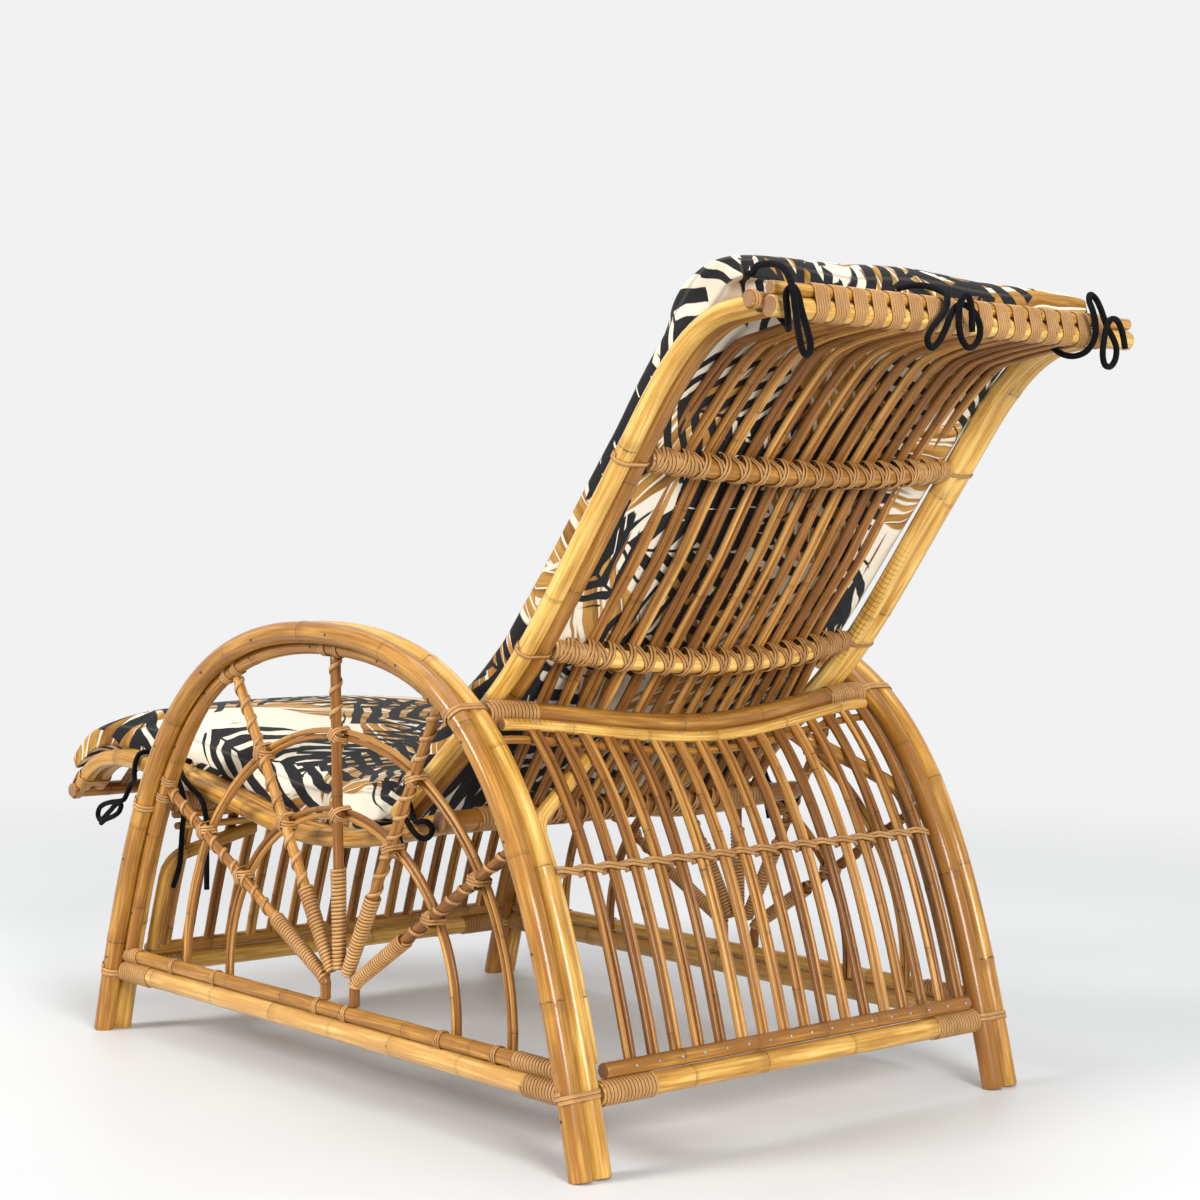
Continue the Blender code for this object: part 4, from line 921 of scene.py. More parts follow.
# %% Back grille
LOWER_CROSS_Y = 0.283
LOWER_CROSS_BOW = 0.032
UPPER_CROSS_Y = 0.429
UPPER_CROSS_BOW = 0.022
ROD_RADIUS = 0.0036
ROD_PAIR_GAP = 0.0005
BACK_PAIRS = 16
BACK_PAIR_SPAN = 0.400
ROD_DIP = 0.002
ROD_CURL_START = 0.115
ROD_CURL_STEP = 0.055
ROD_CURL_DROP = 0.014
ROD_UNDER_POLE = (-0.024, -0.0085)
ROD_IN_POLE = (-0.003, -0.006)
CHORD_SLACK = 0.0004


def pairs_at(middles):
    """The x of both rods of every pair."""
    half_pair = ROD_RADIUS + ROD_PAIR_GAP / 2
    return [middle + shift for middle in middles for shift in (-half_pair, half_pair)]


def pair_places(count, span):
    """The x of every rod of a row of rod pairs."""
    return pairs_at([span * (number / (count - 1) - 0.5) for number in range(count)])


class BowedRail:
    """A back cross rail that bows to the rear between the inner side rails."""

    def __init__(self, y, bow):
        self.s = back_at_y(y)
        self.bow = bow
        face = BACK_INNER_X - BACK_RADIUS - TOUCH
        self.half = face - CROSS_RADIUS * math.sin(math.atan(2 * bow / face))

    def lift(self, x):
        return -self.bow * (1 - (x / self.half) ** 2)

    def rod_lift(self, x):
        slope = math.hypot(1.0, 2 * self.bow * x / self.half ** 2)
        return self.lift(x) + (CROSS_RADIUS + ROD_RADIUS) * slope + TOUCH + CHORD_SLACK

    def path(self, start=-1.0, end=1.0, steps=40):
        stops = [self.half * (start + (end - start) * i / steps) for i in range(steps + 1)]
        return [across(x, BACK.at(self.s, self.lift(x))) for x in stops]


LOWER_CROSS = BowedRail(LOWER_CROSS_Y, LOWER_CROSS_BOW)
UPPER_CROSS = BowedRail(UPPER_CROSS_Y, UPPER_CROSS_BOW)
one_pole("back_cross_rail_lower", "back_cross_lower", LOWER_CROSS.path(), CROSS_RADIUS, seed=151)
one_pole("back_cross_rail_upper", "back_cross_upper", UPPER_CROSS.path(), CROSS_RADIUS, seed=152)


def back_rod(x):
    """From the junction rail up in front of the cross rails and over into the top rail."""
    lower = LOWER_CROSS.s
    upper = UPPER_CROSS.s
    lower_spot = BACK.at(lower, LOWER_CROSS.rod_lift(x))
    low_end = JUNCTION + (lower_spot - JUNCTION).normalized() * (JUNCTION_RADIUS + TOUCH)
    middle_lift = (LOWER_CROSS.rod_lift(x) + UPPER_CROSS.rod_lift(x)) / 2 - ROD_DIP
    curl = BACK.length - ROD_CURL_START
    points = [low_end, lower_spot, BACK.at((lower + upper) / 2, middle_lift),
              BACK.at(upper, UPPER_CROSS.rod_lift(x)),
              BACK.at(curl, (UPPER_CROSS.rod_lift(x) - ROD_CURL_DROP) / 2),
              BACK.at(curl + ROD_CURL_STEP, -ROD_CURL_DROP), TOP_REAR + Vector(ROD_UNDER_POLE),
              TOP_REAR + Vector(ROD_IN_POLE)]
    return [across(x, flat) for flat in smooth_through(points, 8)]


grille = PoleMesh(seed=160, sides=8, step=0.014, wander=0.0006, knots=(0.20, 0.44))
for x in pair_places(BACK_PAIRS, BACK_PAIR_SPAN):
    grille.add(back_rod(x), ROD_RADIUS)
back_rods = stand_for(grille.piece("back_grille_rods", rod_look), "rod")
one_pole("top_rail_rear_pole", "back_grille",
         straight_across(TOP_REAR, BACK_SIDE + TOP_REAR_OVERHANG), TOP_REAR_RADIUS, seed=161)
print(2 * BACK_PAIRS, "back rods,", len(back_rods.data.polygons), "faces")

# %% [markdown]
# ## Seat deck
# Ten pairs of rods run under the cushion from the rail in the scroll to the junction rail.

# %% Seat deck
DECK_PAIRS = 10
DECK_DROP = 0.002
DECK_MARGIN = 0.030
deck = PoleMesh(seed=170, sides=8, step=0.016, wander=0.0006, knots=(0.18, 0.36))
deck_line = [SCROLL_RAIL] + [SEAT.at(s, -DECK_DROP) for s in spread(0.02, SEAT.length, 0.02)]
for x in pair_places(DECK_PAIRS, 2 * (SEAT_INNER_X - SEAT_RADIUS - DECK_MARGIN)):
    deck.add([across(x, flat) for flat in deck_line], ROD_RADIUS)
stand_for(deck.piece("seat_deck_rods", rod_look), "rod")
one_pole("scroll_cross_rail", "seat_deck",
         straight_across(SCROLL_RAIL, SEAT_OUTER_X + SEAT_RADIUS + SCROLL_OVERHANG),
         SCROLL_RAIL_RADIUS, seed=171)

# %% [markdown]
# ## Front and back panels
# Between the arches, under the seat, stands a grille of rod pairs that follows the arch's own curve.
# Its rods are nailed between split strips. The rear panel's top rail sags in the middle, because
# the back rests on its high ends.

# %% Panels
PANEL_RAIL_RADIUS = 0.012
REAR_SAG = 0.033
SAG_FULLNESS = 0.75
SAG_STEEPENING = 1.15
SAG_STRAIGHT_END = 0.016
TOP_STRIP_RADIUS = 0.007
INNER_STRIP_RADIUS = 0.0045
BOTTOM_STRIP_RADIUS = 0.0085
BRACE_RADIUS = 0.0085
BRACE_BEND = 0.030
REAR_BRACE_BEND_HEIGHT = 0.342
FRONT_BRACE_BEND_HEIGHT = 0.225
BRACE_TOP_X = 0.165
BRACE_TOP_DROP = 0.020
STRIP_OUT = 0.0025        # how far the nailed strips stand out over the rods
STRIP_SETBACK = 0.010     # their ends stop short of the legs
INNER_STRIP_DROP = 0.012
PANEL_PAIRS = 17
PANEL_MARGINS = {"front": (0.0345, 0.0345), "rear": (0.0505, 0.0185)}


def rear_sag(x):
    """How far the rear top rail hangs down the arch's curve at x."""
    share = min(1.0, abs(x) / (INNER_FACE_X - SAG_STRAIGHT_END))
    return REAR_SAG * ((1 + math.cos(math.pi * share)) / 2) ** SAG_FULLNESS


def no_sag(x):
    return 0.0


SAG_SLOPE = math.hypot(1.0, SAG_STEEPENING * REAR_SAG * math.pi / 2
                       / (INNER_FACE_X - SAG_STRAIGHT_END))


def rear_rail_start():
    """Length down the arch of the rear top rail's ends, so that the back rests on the rail."""
    def clearance(s):
        apart = -BACK.height_over(arch_at(s + rear_sag(SEAT_OUTER_X)))
        return apart - (BACK_RADIUS + PANEL_RAIL_RADIUS) * SAG_SLOPE - TOUCH
    return where(clearance, arch_down_to(CROWN_HEIGHT * 0.97), arch_down_to(CROWN_HEIGHT / 2))


def front_rail_start():
    """Length down the arch, to the front, of the rail that the seat rests on."""
    def clearance(s):
        return -SEAT.height_over(arch_at(-s)) - SEAT_RADIUS - PANEL_RAIL_RADIUS - TOUCH
    return where(clearance, arch_down_to(CROWN_HEIGHT * 0.8), arch_down_to(CROWN_HEIGHT / 4))


class Panel:
    """A grille on the arches' curve, at the front or the back of the chair."""

    def __init__(self, name, facing, rail_s, sag, bend_height):
        self.name = name
        self.facing = facing
        self.rail_s = rail_s
        self.sag = sag
        self.bend_height = bend_height
        left, right = PANEL_MARGINS[name]
        span = 2 * INNER_FACE_X - left - right
        self.pair_step = span / (PANEL_PAIRS - 1)
        self.pair_middles = [(right - left) / 2 + span * (i / (PANEL_PAIRS - 1) - 0.5)
                             for i in range(PANEL_PAIRS)]
        self.strip_step = (PANEL_RAIL_RADIUS + TOP_STRIP_RADIUS) * SAG_SLOPE + TOUCH
        self.bottom_s = LOWER_RAIL_S - PANEL_RAIL_RADIUS - BOTTOM_STRIP_RADIUS - TOUCH

    def point(self, x, s, inset=0.0):
        return across(x, arch_at(self.facing * s, inset))

    def row(self, step, half=INNER_FACE_X, inset=0.0):
        """Points across the chair, a step further down the arch than the top rail."""
        stops = [half * (2 * i / 48 - 1) for i in range(49)]
        return [self.point(x, self.rail_s + self.sag(x) + step, inset) for x in stops]

    def rod(self, x):
        top = self.rail_s + self.sag(x) + self.strip_step - TOP_STRIP_RADIUS * 0.6
        low = self.bottom_s + BOTTOM_STRIP_RADIUS * 0.5
        return [self.point(x, s) for s in spread(top, low, ARCH_STEP)]

    def build(self, seed):
        one_pole(f"{self.name}_panel_top_rail", f"{self.name}_top_rail", self.row(0.0),
                 PANEL_RAIL_RADIUS, seed=seed)
        low = arch_at(self.facing * LOWER_RAIL_S)
        one_pole(f"{self.name}_panel_lower_rail", f"{self.name}_lower_rail",
                 straight_across(low, INNER_FACE_X), PANEL_RAIL_RADIUS, seed=seed + 1)
        rods = PoleMesh(seed=seed + 2, sides=8, step=0.014, wander=0.0007, knots=(0.17, 0.40))
        for x in pairs_at(self.pair_middles):
            rods.add(self.rod(x), ROD_RADIUS)
        stand_for(rods.piece(f"{self.name}_panel_rods", rod_look), "rod", f"{self.name}_grille")
        strips = PoleMesh(seed=seed + 3, sides=12, knots=(0.14, 0.24))
        half = INNER_FACE_X - STRIP_SETBACK
        strips.add(self.row(self.strip_step, half, -STRIP_OUT), TOP_STRIP_RADIUS - 0.0005)
        strips.add(self.row(self.strip_step + INNER_STRIP_DROP, half,
                            ROD_RADIUS + INNER_STRIP_RADIUS), INNER_STRIP_RADIUS)
        strips.add([self.point(x, self.bottom_s, -STRIP_OUT) for x in (-half, half)],
                   BOTTOM_STRIP_RADIUS)
        stand_for(strips.piece(f"{self.name}_panel_strips", pole_look), "pole")
        for side, sign in SIDES:
            one_pole(f"{self.name}_knee_brace_{side}", f"{self.name}_brace_{side}",
                     self.brace(sign), BRACE_RADIUS, seed=seed + 5 + sign, sides=12)

    def brace(self, sign):
        """Up inside the leg, then in a bend towards the middle of the top rail."""
        inset = ROD_RADIUS + BRACE_RADIUS + TOUCH
        x = INNER_FACE_X - BRACE_RADIUS
        foot = self.bottom_s - BOTTOM_STRIP_RADIUS
        top = self.rail_s + self.sag(BRACE_TOP_X) + self.strip_step + BRACE_TOP_DROP
        plan = rounded([Vector((x, foot)), Vector((x, arch_down_to(self.bend_height))),
                        Vector((BRACE_TOP_X, top))], BRACE_BEND)
        fine = []
        for start, end in zip(plan, plan[1:]):
            count = max(1, math.ceil((end - start).length / 0.015))
            fine += [start.lerp(end, i / count) for i in range(count)]
        fine.append(plan[-1])
        return [self.point(sign * spot.x, spot.y, inset) for spot in fine]


REAR_PANEL = Panel("rear", 1, rear_rail_start(), rear_sag, REAR_BRACE_BEND_HEIGHT)
FRONT_PANEL = Panel("front", -1, front_rail_start(), no_sag, FRONT_BRACE_BEND_HEIGHT)
REAR_PANEL.build(200)
FRONT_PANEL.build(220)

# %% [markdown]
# ## Cane windings
# Every joint is covered with split cane: close windings on the rail ends, an open spiral on the
# spokes, crossed turns on the cross rails. A winding is a path plus a rule, so one node tree makes
# them all. It takes a line with a radius at each point and winds a flat cane round it.

# %% Winding tree
CANE_WIDTH = 0.0042
CANE_THICKNESS = 0.0017
PROFILE_SIDES = 10


def new_tree(name, sizes):
    """A geometry tree with its sizes as named inputs, next to its geometry and its finish."""
    tree = bpy.data.node_groups.new(name, "GeometryNodeTree")
    sockets = [("Geometry", "INPUT", "Geometry")]
    sockets += [(label, "INPUT", "Float") for label in sizes]
    sockets += [("Finish", "INPUT", "Material"), ("Geometry", "OUTPUT", "Geometry")]
    for label, side, kind in sockets:
        made = tree.interface.new_socket(label, in_out=side, socket_type=f"NodeSocket{kind}")
        if kind == "Float":
            made.default_value = sizes[label]
    graph = Graph(tree)
    given = graph.node("NodeGroupInput").outputs
    return graph, given, {label: Value(graph, given[label]) for label in sizes}


def realized(graph, geometry, finish=None):
    """End the tree with the geometry made real, and give the tree back."""
    geometry = graph.shape("GeometryNodeRealizeInstances", Geometry=geometry)
    if finish:
        geometry = graph.shape("GeometryNodeSetMaterial", Geometry=geometry, Material=finish)
    graph.node("NodeGroupOutput", None, {"Geometry": geometry})
    return graph.tree


def flat_cane(graph, line, outward, size, look):
    """A flat cane swept along a line, its flat side towards the pole."""
    along = graph.value("GeometryNodeSplineParameter", out="Length")
    facing = graph.shape("GeometryNodeSetCurveNormal", {"mode": "FREE"},
                         Curve=graph.keep(line, "along", along), Normal=outward)
    ring = graph.shape("GeometryNodeCurvePrimitiveCircle", Resolution=PROFILE_SIDES, Radius=0.5)
    rim = graph.keep(ring, "rim", graph.value("GeometryNodeSplineParameter", out="Factor"))
    oval = graph.vector(size["Cane Thickness"], size["Cane Width"], 1.0)
    flat = graph.shape("GeometryNodeTransform", Geometry=rim, Scale=oval)
    swept = graph.shape("GeometryNodeCurveToMesh", Curve=facing, Profile_Curve=flat, Fill_Caps=True)
    return graph.shape("GeometryNodeSetMaterial", Geometry=swept, Material=look)


def winding_tree():
    graph, given, size = new_tree("Wound cane", {
        "Pitch": 0.0045, "Cane Width": CANE_WIDTH, "Cane Thickness": CANE_THICKNESS,
        "Steps": 16.0, "Looseness": 0.0002, "Bulge": 0.0})
    curve = graph.shape("GeometryNodeMeshToCurve", Mesh=given["Geometry"])
    fine = graph.shape("GeometryNodeResampleCurve", {"mode": "LENGTH"}, Curve=curve,
                       Length=abs(size["Pitch"]) / size["Steps"])
    tangent = graph.value("GeometryNodeInputTangent")
    outward = graph.named("outward")
    leaning = graph.scaled(tangent, graph.vector_sum("DOT_PRODUCT", outward, tangent, "Value"))
    zero = graph.vector_sum("NORMALIZE", graph.vector_sum("SUBTRACT", outward, leaning), (0, 0, 0))
    quarter = graph.vector_sum("CROSS_PRODUCT", tangent, zero)
    length = graph.value("GeometryNodeSplineParameter", out="Length")
    turn = length / size["Pitch"] * (2 * math.pi)
    radial = graph.vector_sum("ADD", graph.scaled(zero, turn.math("COSINE")),
                              graph.scaled(quarter, turn.math("SINE")))
    held = graph.keep(fine, "radial", radial, "FLOAT_VECTOR")
    place = graph.value("GeometryNodeInputPosition")
    slack = (graph.noise(place, 90.0, 2.0) - 0.5) * size["Looseness"] * 2.0
    bulge = turn.math("COSINE").math("MAXIMUM", 0.0).power(2.0) * size["Bulge"]
    far = graph.named("reach", "FLOAT") + size["Cane Thickness"] * 0.5 + slack + bulge
    kept = graph.named("radial")
    shift = graph.vector_sum("ADD", graph.scaled(kept, far), graph.scaled(tangent, slack * 1.5))
    wound = graph.shape("GeometryNodeSetPosition", Geometry=held, Offset=shift)
    return realized(graph, flat_cane(graph, wound, kept, size, given["Finish"]))


WINDING = winding_tree()

# %% [markdown]
# ## Cane finish
# Split cane keeps its own skin on one side. It is paler and drier than the poles, with fine fibres
# along its length, so the finish reads the distance along each strand.

# %% Cane finish
def cane_finish(name, dark, light, roughness):
    look, graph, shader = new_finish(name, roughness, Coat_Weight=0.18, Coat_Roughness=0.25,
                                     Specular_IOR_Level=0.25)
    along = graph.attribute("along")
    rim = graph.attribute("rim") * (2 * math.pi)
    place = graph.place()
    beside = rim.math("SINE")
    fibre = graph.noise(graph.vector(along * 60.0, beside * 5.0, rim.math("COSINE") * 5.0), 1.0, 3.0)
    patch = graph.noise(place, 42.0, 3.0)
    broad = graph.noise(place, 7.0, 2.0)
    tone = fibre * 0.45 + patch * 0.4 + broad * 0.5 - 0.2
    colour = graph.mix(tone.above(0.47, 0.26), dark, light)
    spot = graph.noise(place, 180.0, 2.0).above(0.72, 0.06) * 0.6
    colour = graph.mix(spot, colour, darker(dark, 0.4))
    edge = abs(beside).above(0.84, 0.14) * 0.8
    paint(graph, shader, graph.mix(edge, colour, darker(dark, 0.4)), fibre + patch * 0.5, 0.0004, 0.5)
    return look


cane_look = cane_finish("Split cane", (0.34, 0.150, 0.042), (0.66, 0.370, 0.135), 0.48)


def settle(piece):
    """Put the piece's modified shape in its mesh and take the modifier away."""
    graph = bpy.context.evaluated_depsgraph_get()
    mesh = bpy.data.meshes.new_from_object(piece.evaluated_get(graph),
                                           preserve_all_data_layers=True, depsgraph=graph)
    piece.modifiers.clear()
    piece.data = mesh
    mesh.name = piece.name
    mesh.shade_smooth()
    return piece


def line_mesh(name, runs):
    """Lines as mesh edges. Each run is its points, an outward direction for each, and reaches."""
    verts, edges, outward, reach = [], [], [], []
    for points, facings, reaches in runs:
        first = len(verts)
        verts += points
        edges += [(first + i, first + i + 1) for i in range(len(points) - 1)]
        outward += facings
        reach += reaches
    mesh = bpy.data.meshes.new(name)
    mesh.from_pydata(verts, edges, [])
    mesh.attributes.new("outward", "FLOAT_VECTOR", "POINT").data.foreach_set(
        "vector", [value for facing in outward for value in facing])
    mesh.attributes.new("reach", "FLOAT", "POINT").data.foreach_set("value", reach)
    return placed(name, mesh)


def run_tree(name, runs, tree, look, sizes):
    """Run a node tree on lines or points with its sizes set by name, and settle the result."""
    piece = line_mesh(name, runs)
    modifier = piece.modifiers.new(tree.name, "NODES")
    modifier.node_group = tree
    values = {label.replace("_", " "): value for label, value in sizes.items()}
    values["Finish"] = look
    for item in tree.interface.items_tree:
        if item.in_out == "INPUT" and item.name in values:
            modifier[item.identifier] = values[item.name]
    settle(piece)
    print(name, len(runs), "runs,", len(piece.data.polygons), "faces")
    return piece


def section(points, outward, reach):
    """A run for winding: part of a pole with one zero direction and one reach."""
    return list(points), [Vector(outward)] * len(points), [reach] * len(points)


def both_ends(points, outward, radius, first, last, gap=0.001):
    """Runs for winding at both ends of a pole."""
    line = Line(points)
    return [section(line.part(gap, first), outward, radius),
            section(line.part(-last, -gap), outward, radius)]


def winding(name, runs, pitch, **sizes):
    """Cane wound round each run, at a pitch that is negative for the other hand."""
    stand_for(run_tree(name, runs, WINDING, cane_look, {"Pitch": pitch, **sizes}), "cane")

# %% [markdown]
# ## Rail ends
# The rails end against round legs, where nails would split them. Each end is bound with close turns of
# cane. Short ties mark the feet of the rings and stems on the upper rail.

# %% Rail end windings
CLOSE_PITCH = 0.0047
TIE_PITCH = 0.0036
SIDE_UP = (1, 0, 0)
WORLD_UP = (0, 0, 1)
END_GAP = 0.004           # bare pole between a side rail's winding and its end
RING_TIE_STEP = 0.0125    # a tie beside a ring foot or a stem, from its middle
RING_TIE_LONG = 0.0075
LOWER_WOUND = (0.066, 0.066)   # at the front end and at the rear end
UPPER_WOUND = (0.036, 0.080)

runs, ties = [], []
for sign in (1, -1):
    for height, radius, wound in ((LOWER_RAIL_HEIGHT, LOWER_RAIL_RADIUS, LOWER_WOUND),
                                  (UPPER_RAIL_HEIGHT, UPPER_RAIL_RADIUS, UPPER_WOUND)):
        reach = rail_reach(height)
        line = [(sign * SIDE_X, y, height) for y in (-reach, reach)]
        runs += both_ends(line, SIDE_UP, radius, *wound, END_GAP)
    for middle, out in ((RING_CENTRE, -LARGE_RING_RADIUS), (RING_CENTRE, -SMALL_RING_RADIUS),
                        (HUB, -STEM_SPREAD), (HUB, STEM_SPREAD),
                        (RING_CENTRE, SMALL_RING_RADIUS), (RING_CENTRE, LARGE_RING_RADIUS)):
        start = middle.x + out - RING_TIE_STEP
        line = Line([(sign * SIDE_X, y, UPPER_RAIL_HEIGHT) for y in (start, start + RING_TIE_LONG)])
        ties.append(section(line.part(0.0, RING_TIE_LONG), SIDE_UP, UPPER_RAIL_RADIUS))
winding("side_rail_end_windings", runs, CLOSE_PITCH)
winding("upper_rail_ties", ties, TIE_PITCH, Cane_Width=0.0030, Looseness=0.0003)

runs = []
for panel, top_long, low_long in ((REAR_PANEL, 0.066, 0.074), (FRONT_PANEL, 0.058, 0.062)):
    runs += both_ends(panel.row(0.0), WORLD_UP, PANEL_RAIL_RADIUS, top_long, top_long)
    low = straight_across(arch_at(panel.facing * LOWER_RAIL_S), INNER_FACE_X)
    runs += both_ends(low, WORLD_UP, PANEL_RAIL_RADIUS, low_long, low_long)
winding("panel_rail_end_windings", runs, CLOSE_PITCH)

# %% [markdown]
# ## Windings of the back's cross rails
# Close turns cover the ends of both bowed rails. Between them the cane crosses itself in a
# herringbone, once over each pair of rods, so that every pair is tied to the rail.

# %% Cross rail windings
PAIR_STEP = BACK_PAIR_SPAN / (BACK_PAIRS - 1)
ROD_BULGE = 2 * ROD_RADIUS + 0.0010
LASHING_STEP = 0.0046     # two canes lie side by side in each lashing
JUNCTION_WOUND = 0.085
JUNCTION_LASHED = 0.080
CROSS_WOUND = ((-0.995, -0.70), (0.76, 0.995))   # shares of a cross rail's half length
CROSS_LASHED = 0.97
UNDER_LIFT = 0.0002
OVER_LIFT = 0.0012

runs, right_hand, left_hand = [], [], []
for cross in (LOWER_CROSS, UPPER_CROSS):
    forward = across(0, BACK.normal(cross.s))
    for start, end in CROSS_WOUND:
        runs.append(section(cross.path(start, end, 14), forward, CROSS_RADIUS))
    for beside in (0.0, LASHING_STEP / cross.half):
        path = cross.path(-CROSS_LASHED + beside, CROSS_LASHED, 90)
        right_hand.append(section(path, forward, CROSS_RADIUS + UNDER_LIFT))
        left_hand.append(section(path, forward, CROSS_RADIUS + OVER_LIFT))
winding("cross_rail_end_windings", runs, CLOSE_PITCH, Looseness=0.0003)
for hand, lashed, pitch in (("right", right_hand, PAIR_STEP), ("left", left_hand, -PAIR_STEP)):
    winding(f"cross_rail_lashing_{hand}_hand", lashed, pitch, Cane_Width=0.0036, Steps=40.0,
            Bulge=ROD_BULGE, Looseness=0.0003)

junction = straight_across(JUNCTION, SEAT_INNER_X - SEAT_RADIUS)
lashed = Line(junction).part(JUNCTION_LASHED, -JUNCTION_LASHED)
up_back = across(0, BACK.run(0.0))
winding("junction_rail_close_winding",
        both_ends(junction, up_back, JUNCTION_RADIUS, JUNCTION_WOUND, JUNCTION_WOUND),
        CLOSE_PITCH, Looseness=0.0004)
winding("junction_rail_lashing", [section(lashed, up_back, JUNCTION_RADIUS + 0.0005)], PAIR_STEP / 2,
        Cane_Width=0.0046, Steps=30.0, Bulge=0.004, Looseness=0.0007)
winding("junction_rail_lashing_back", [section(lashed, up_back, JUNCTION_RADIUS + 0.0014)],
        -PAIR_STEP, Cane_Width=0.0040, Steps=40.0, Bulge=0.005, Looseness=0.0007)

# %% [markdown]
# ## Straps round pairs of poles
# A strap lies round two or three poles like a belt, so its line is the outline that a band pulled
# tight would take. The outline is found from the circles of the poles in the strap's own plane.

# %% Straps
BELT_STEPS = 40


def strap_run(origin, right, up, circles, turns, spacing, lift):
    """A band of several turns pulled tight round circles (x, y, radius), drifting along the poles."""
    right, up = Vector(right).normalized(), Vector(up).normalized()
    along = right.cross(up)
    points, facings = [], []
    for step in range(int(turns * BELT_STEPS) + 1):
        out = ray(2 * math.pi * (step % BELT_STEPS) / BELT_STEPS)
        x, y, radius = max(circles, key=lambda c: c[0] * out.x + c[1] * out.y + c[2])
        spot = Vector((x, y)) + out * (radius + lift)
        drift = (step / BELT_STEPS - turns / 2) * spacing
        points.append(Vector(origin) + right * spot.x + up * spot.y + along * drift)
        facings.append(right * out.x + up * out.y)
    return points, facings, [0.0] * len(points)


def strap_tree():
    graph, given, size = new_tree("Cane strap", {
        "Cane Width": 0.0044, "Cane Thickness": 0.0014, "Looseness": 0.0003,
        "Copies": 1.0, "Copy Step": 0.0})
    curve = graph.shape("GeometryNodeMeshToCurve", Mesh=given["Geometry"])
    outward = graph.named("outward")
    place = graph.value("GeometryNodeInputPosition")
    slack = (graph.noise(place, 70.0, 2.0) - 0.5) * size["Looseness"] * 2.0
    loose = graph.shape("GeometryNodeSetPosition", Geometry=curve, Offset=graph.scaled(outward, slack))
    cane = flat_cane(graph, loose, outward, size, given["Finish"])
    row = graph.shape("GeometryNodeMeshLine", Count=size["Copies"],
                      Offset=graph.vector(size["Copy Step"], 0, 0))
    uneven = graph.node("FunctionNodeRandomValue", {"data_type": "FLOAT"},
                        {"Min": -0.0006, "Max": 0.0006, "ID": graph.value("GeometryNodeInputIndex"),
                         "Seed": 4})
    moved = graph.shape("GeometryNodeSetPosition", Geometry=row,
                        Offset=graph.vector(uneven.outputs[1], 0, 0))
    return realized(graph, graph.shape("GeometryNodeInstanceOnPoints", Points=moved, Instance=cane))


STRAP = strap_tree()


def straps(name, runs, *nodes, **sizes):
    stand_for(run_tree(name, runs, STRAP, cane_look, sizes), "cane", *nodes)

# %% [markdown]
# ## Windings of the sunburst
# The lower third of every spoke is wound closely. Above that one cane spirals up to the arch, but on
# the middle spoke only round its top. Where a spoke crosses a ring, a small cross of cane ties them.

# %% Spoke windings
WOUND_SWELL = 0.0014      # how much thicker the wound part is at its upper end
WOUND_LONG = 0.112
STEM_BARE = 0.022
MIDDLE_SPIRAL = 0.105
LASHING_CIRCLES = [(0.0, 0.0022, SPOKE_RADIUS), (0.0, -0.0022, SPOKE_RADIUS),
                   (SPOKE_X - RING_X, 0.0062, RING_CANE_RADIUS),
                   (SPOKE_X - RING_X, -0.0062, RING_CANE_RADIUS)]


def past_ring(spot, radius):
    """How far a point lies outside a ring, as a share of the ring's size."""
    return math.hypot((spot.y - RING_CENTRE.x) / radius,
                      (spot.z - RING_CENTRE.y) / (radius * RING_RISE)) - 1


close, spiral, lashings = [], [], []
for sign in (1, -1):
    inward = Vector((-sign, 0, 0))
    for number in range(SPOKE_COUNT):
        whole = Line([across(sign * SPOKE_X, flat) for flat in spoke_line(number)])
        stem = STEM_BARE if number in (0, SPOKE_COUNT - 1) else 0.0
        wound = WOUND_LONG - 0.010 * (number % 2)
        under = whole.part(-(wound + stem), -(stem + 0.001))
        thick = [SPOKE_RADIUS + WOUND_SWELL * (1 - i / (len(under) - 1)) for i in range(len(under))]
        close.append((under, [inward] * len(under), thick))
        spiral_end = MIDDLE_SPIRAL if number == SPOKE_COUNT // 2 else -(wound + stem)
        spiral.append(section(whole.part(0.001, spiral_end), inward, SPOKE_RADIUS))
        for radius in (LARGE_RING_RADIUS, SMALL_RING_RADIUS):
            reach = where(lambda s: past_ring(whole.at(s), radius), 0.0, whole.length - 0.03)
            spot = whole.at(reach)
            facing = whole.facing(reach)
            beside = facing.cross(Vector((1, 0, 0)))
            for hand in (1, -1):
                slant = (facing + beside * hand).normalized()
                lashings.append(strap_run(spot, inward, slant, LASHING_CIRCLES, 2.6, 0.0034 * hand,
                                          0.0009 + 0.0010 * (hand > 0)))
winding("spoke_close_windings", close, 0.0043, Cane_Width=0.0039, Cane_Thickness=0.0020)
winding("spoke_spiral_windings", spiral, 0.025, Cane_Width=0.0052, Steps=36.0)
straps("ring_lashings", lashings, Cane_Width=0.0031, Looseness=0.0003)

# %% [markdown]
# ## Straps on the legs and the back
# Each leg is strapped where a rail meets it, and both cross rails are strapped to the back's side
# poles.

# %% Leg and back straps
COLLAR_STEP = 0.0075       # from a spoke's middle to the turns on the liner beside it
COLLAR_LONG = 0.0085
SCROLL_STRAP_S = 0.016
STRAP_LIFT = 0.0009
STRAP_TURNS = 2.05
STRAP_HEIGHT = LOWER_RAIL_HEIGHT + 0.002


def arch_normal(s):
    run = ARCH.run(ARCH_HALF + s)
    return Vector((-run.y, run.x))


def pair_strap(sign, inner_x, outer_x, radius, flat, normal, turns, spacing):
    """A strap round two equal poles that lie side by side."""
    return strap_run(across(sign * inner_x, flat), (sign, 0, 0), across(0, normal),
                     [(0.0, 0.0, radius), (outer_x - inner_x, 0.0, radius)], turns, spacing * sign,
                     STRAP_LIFT)


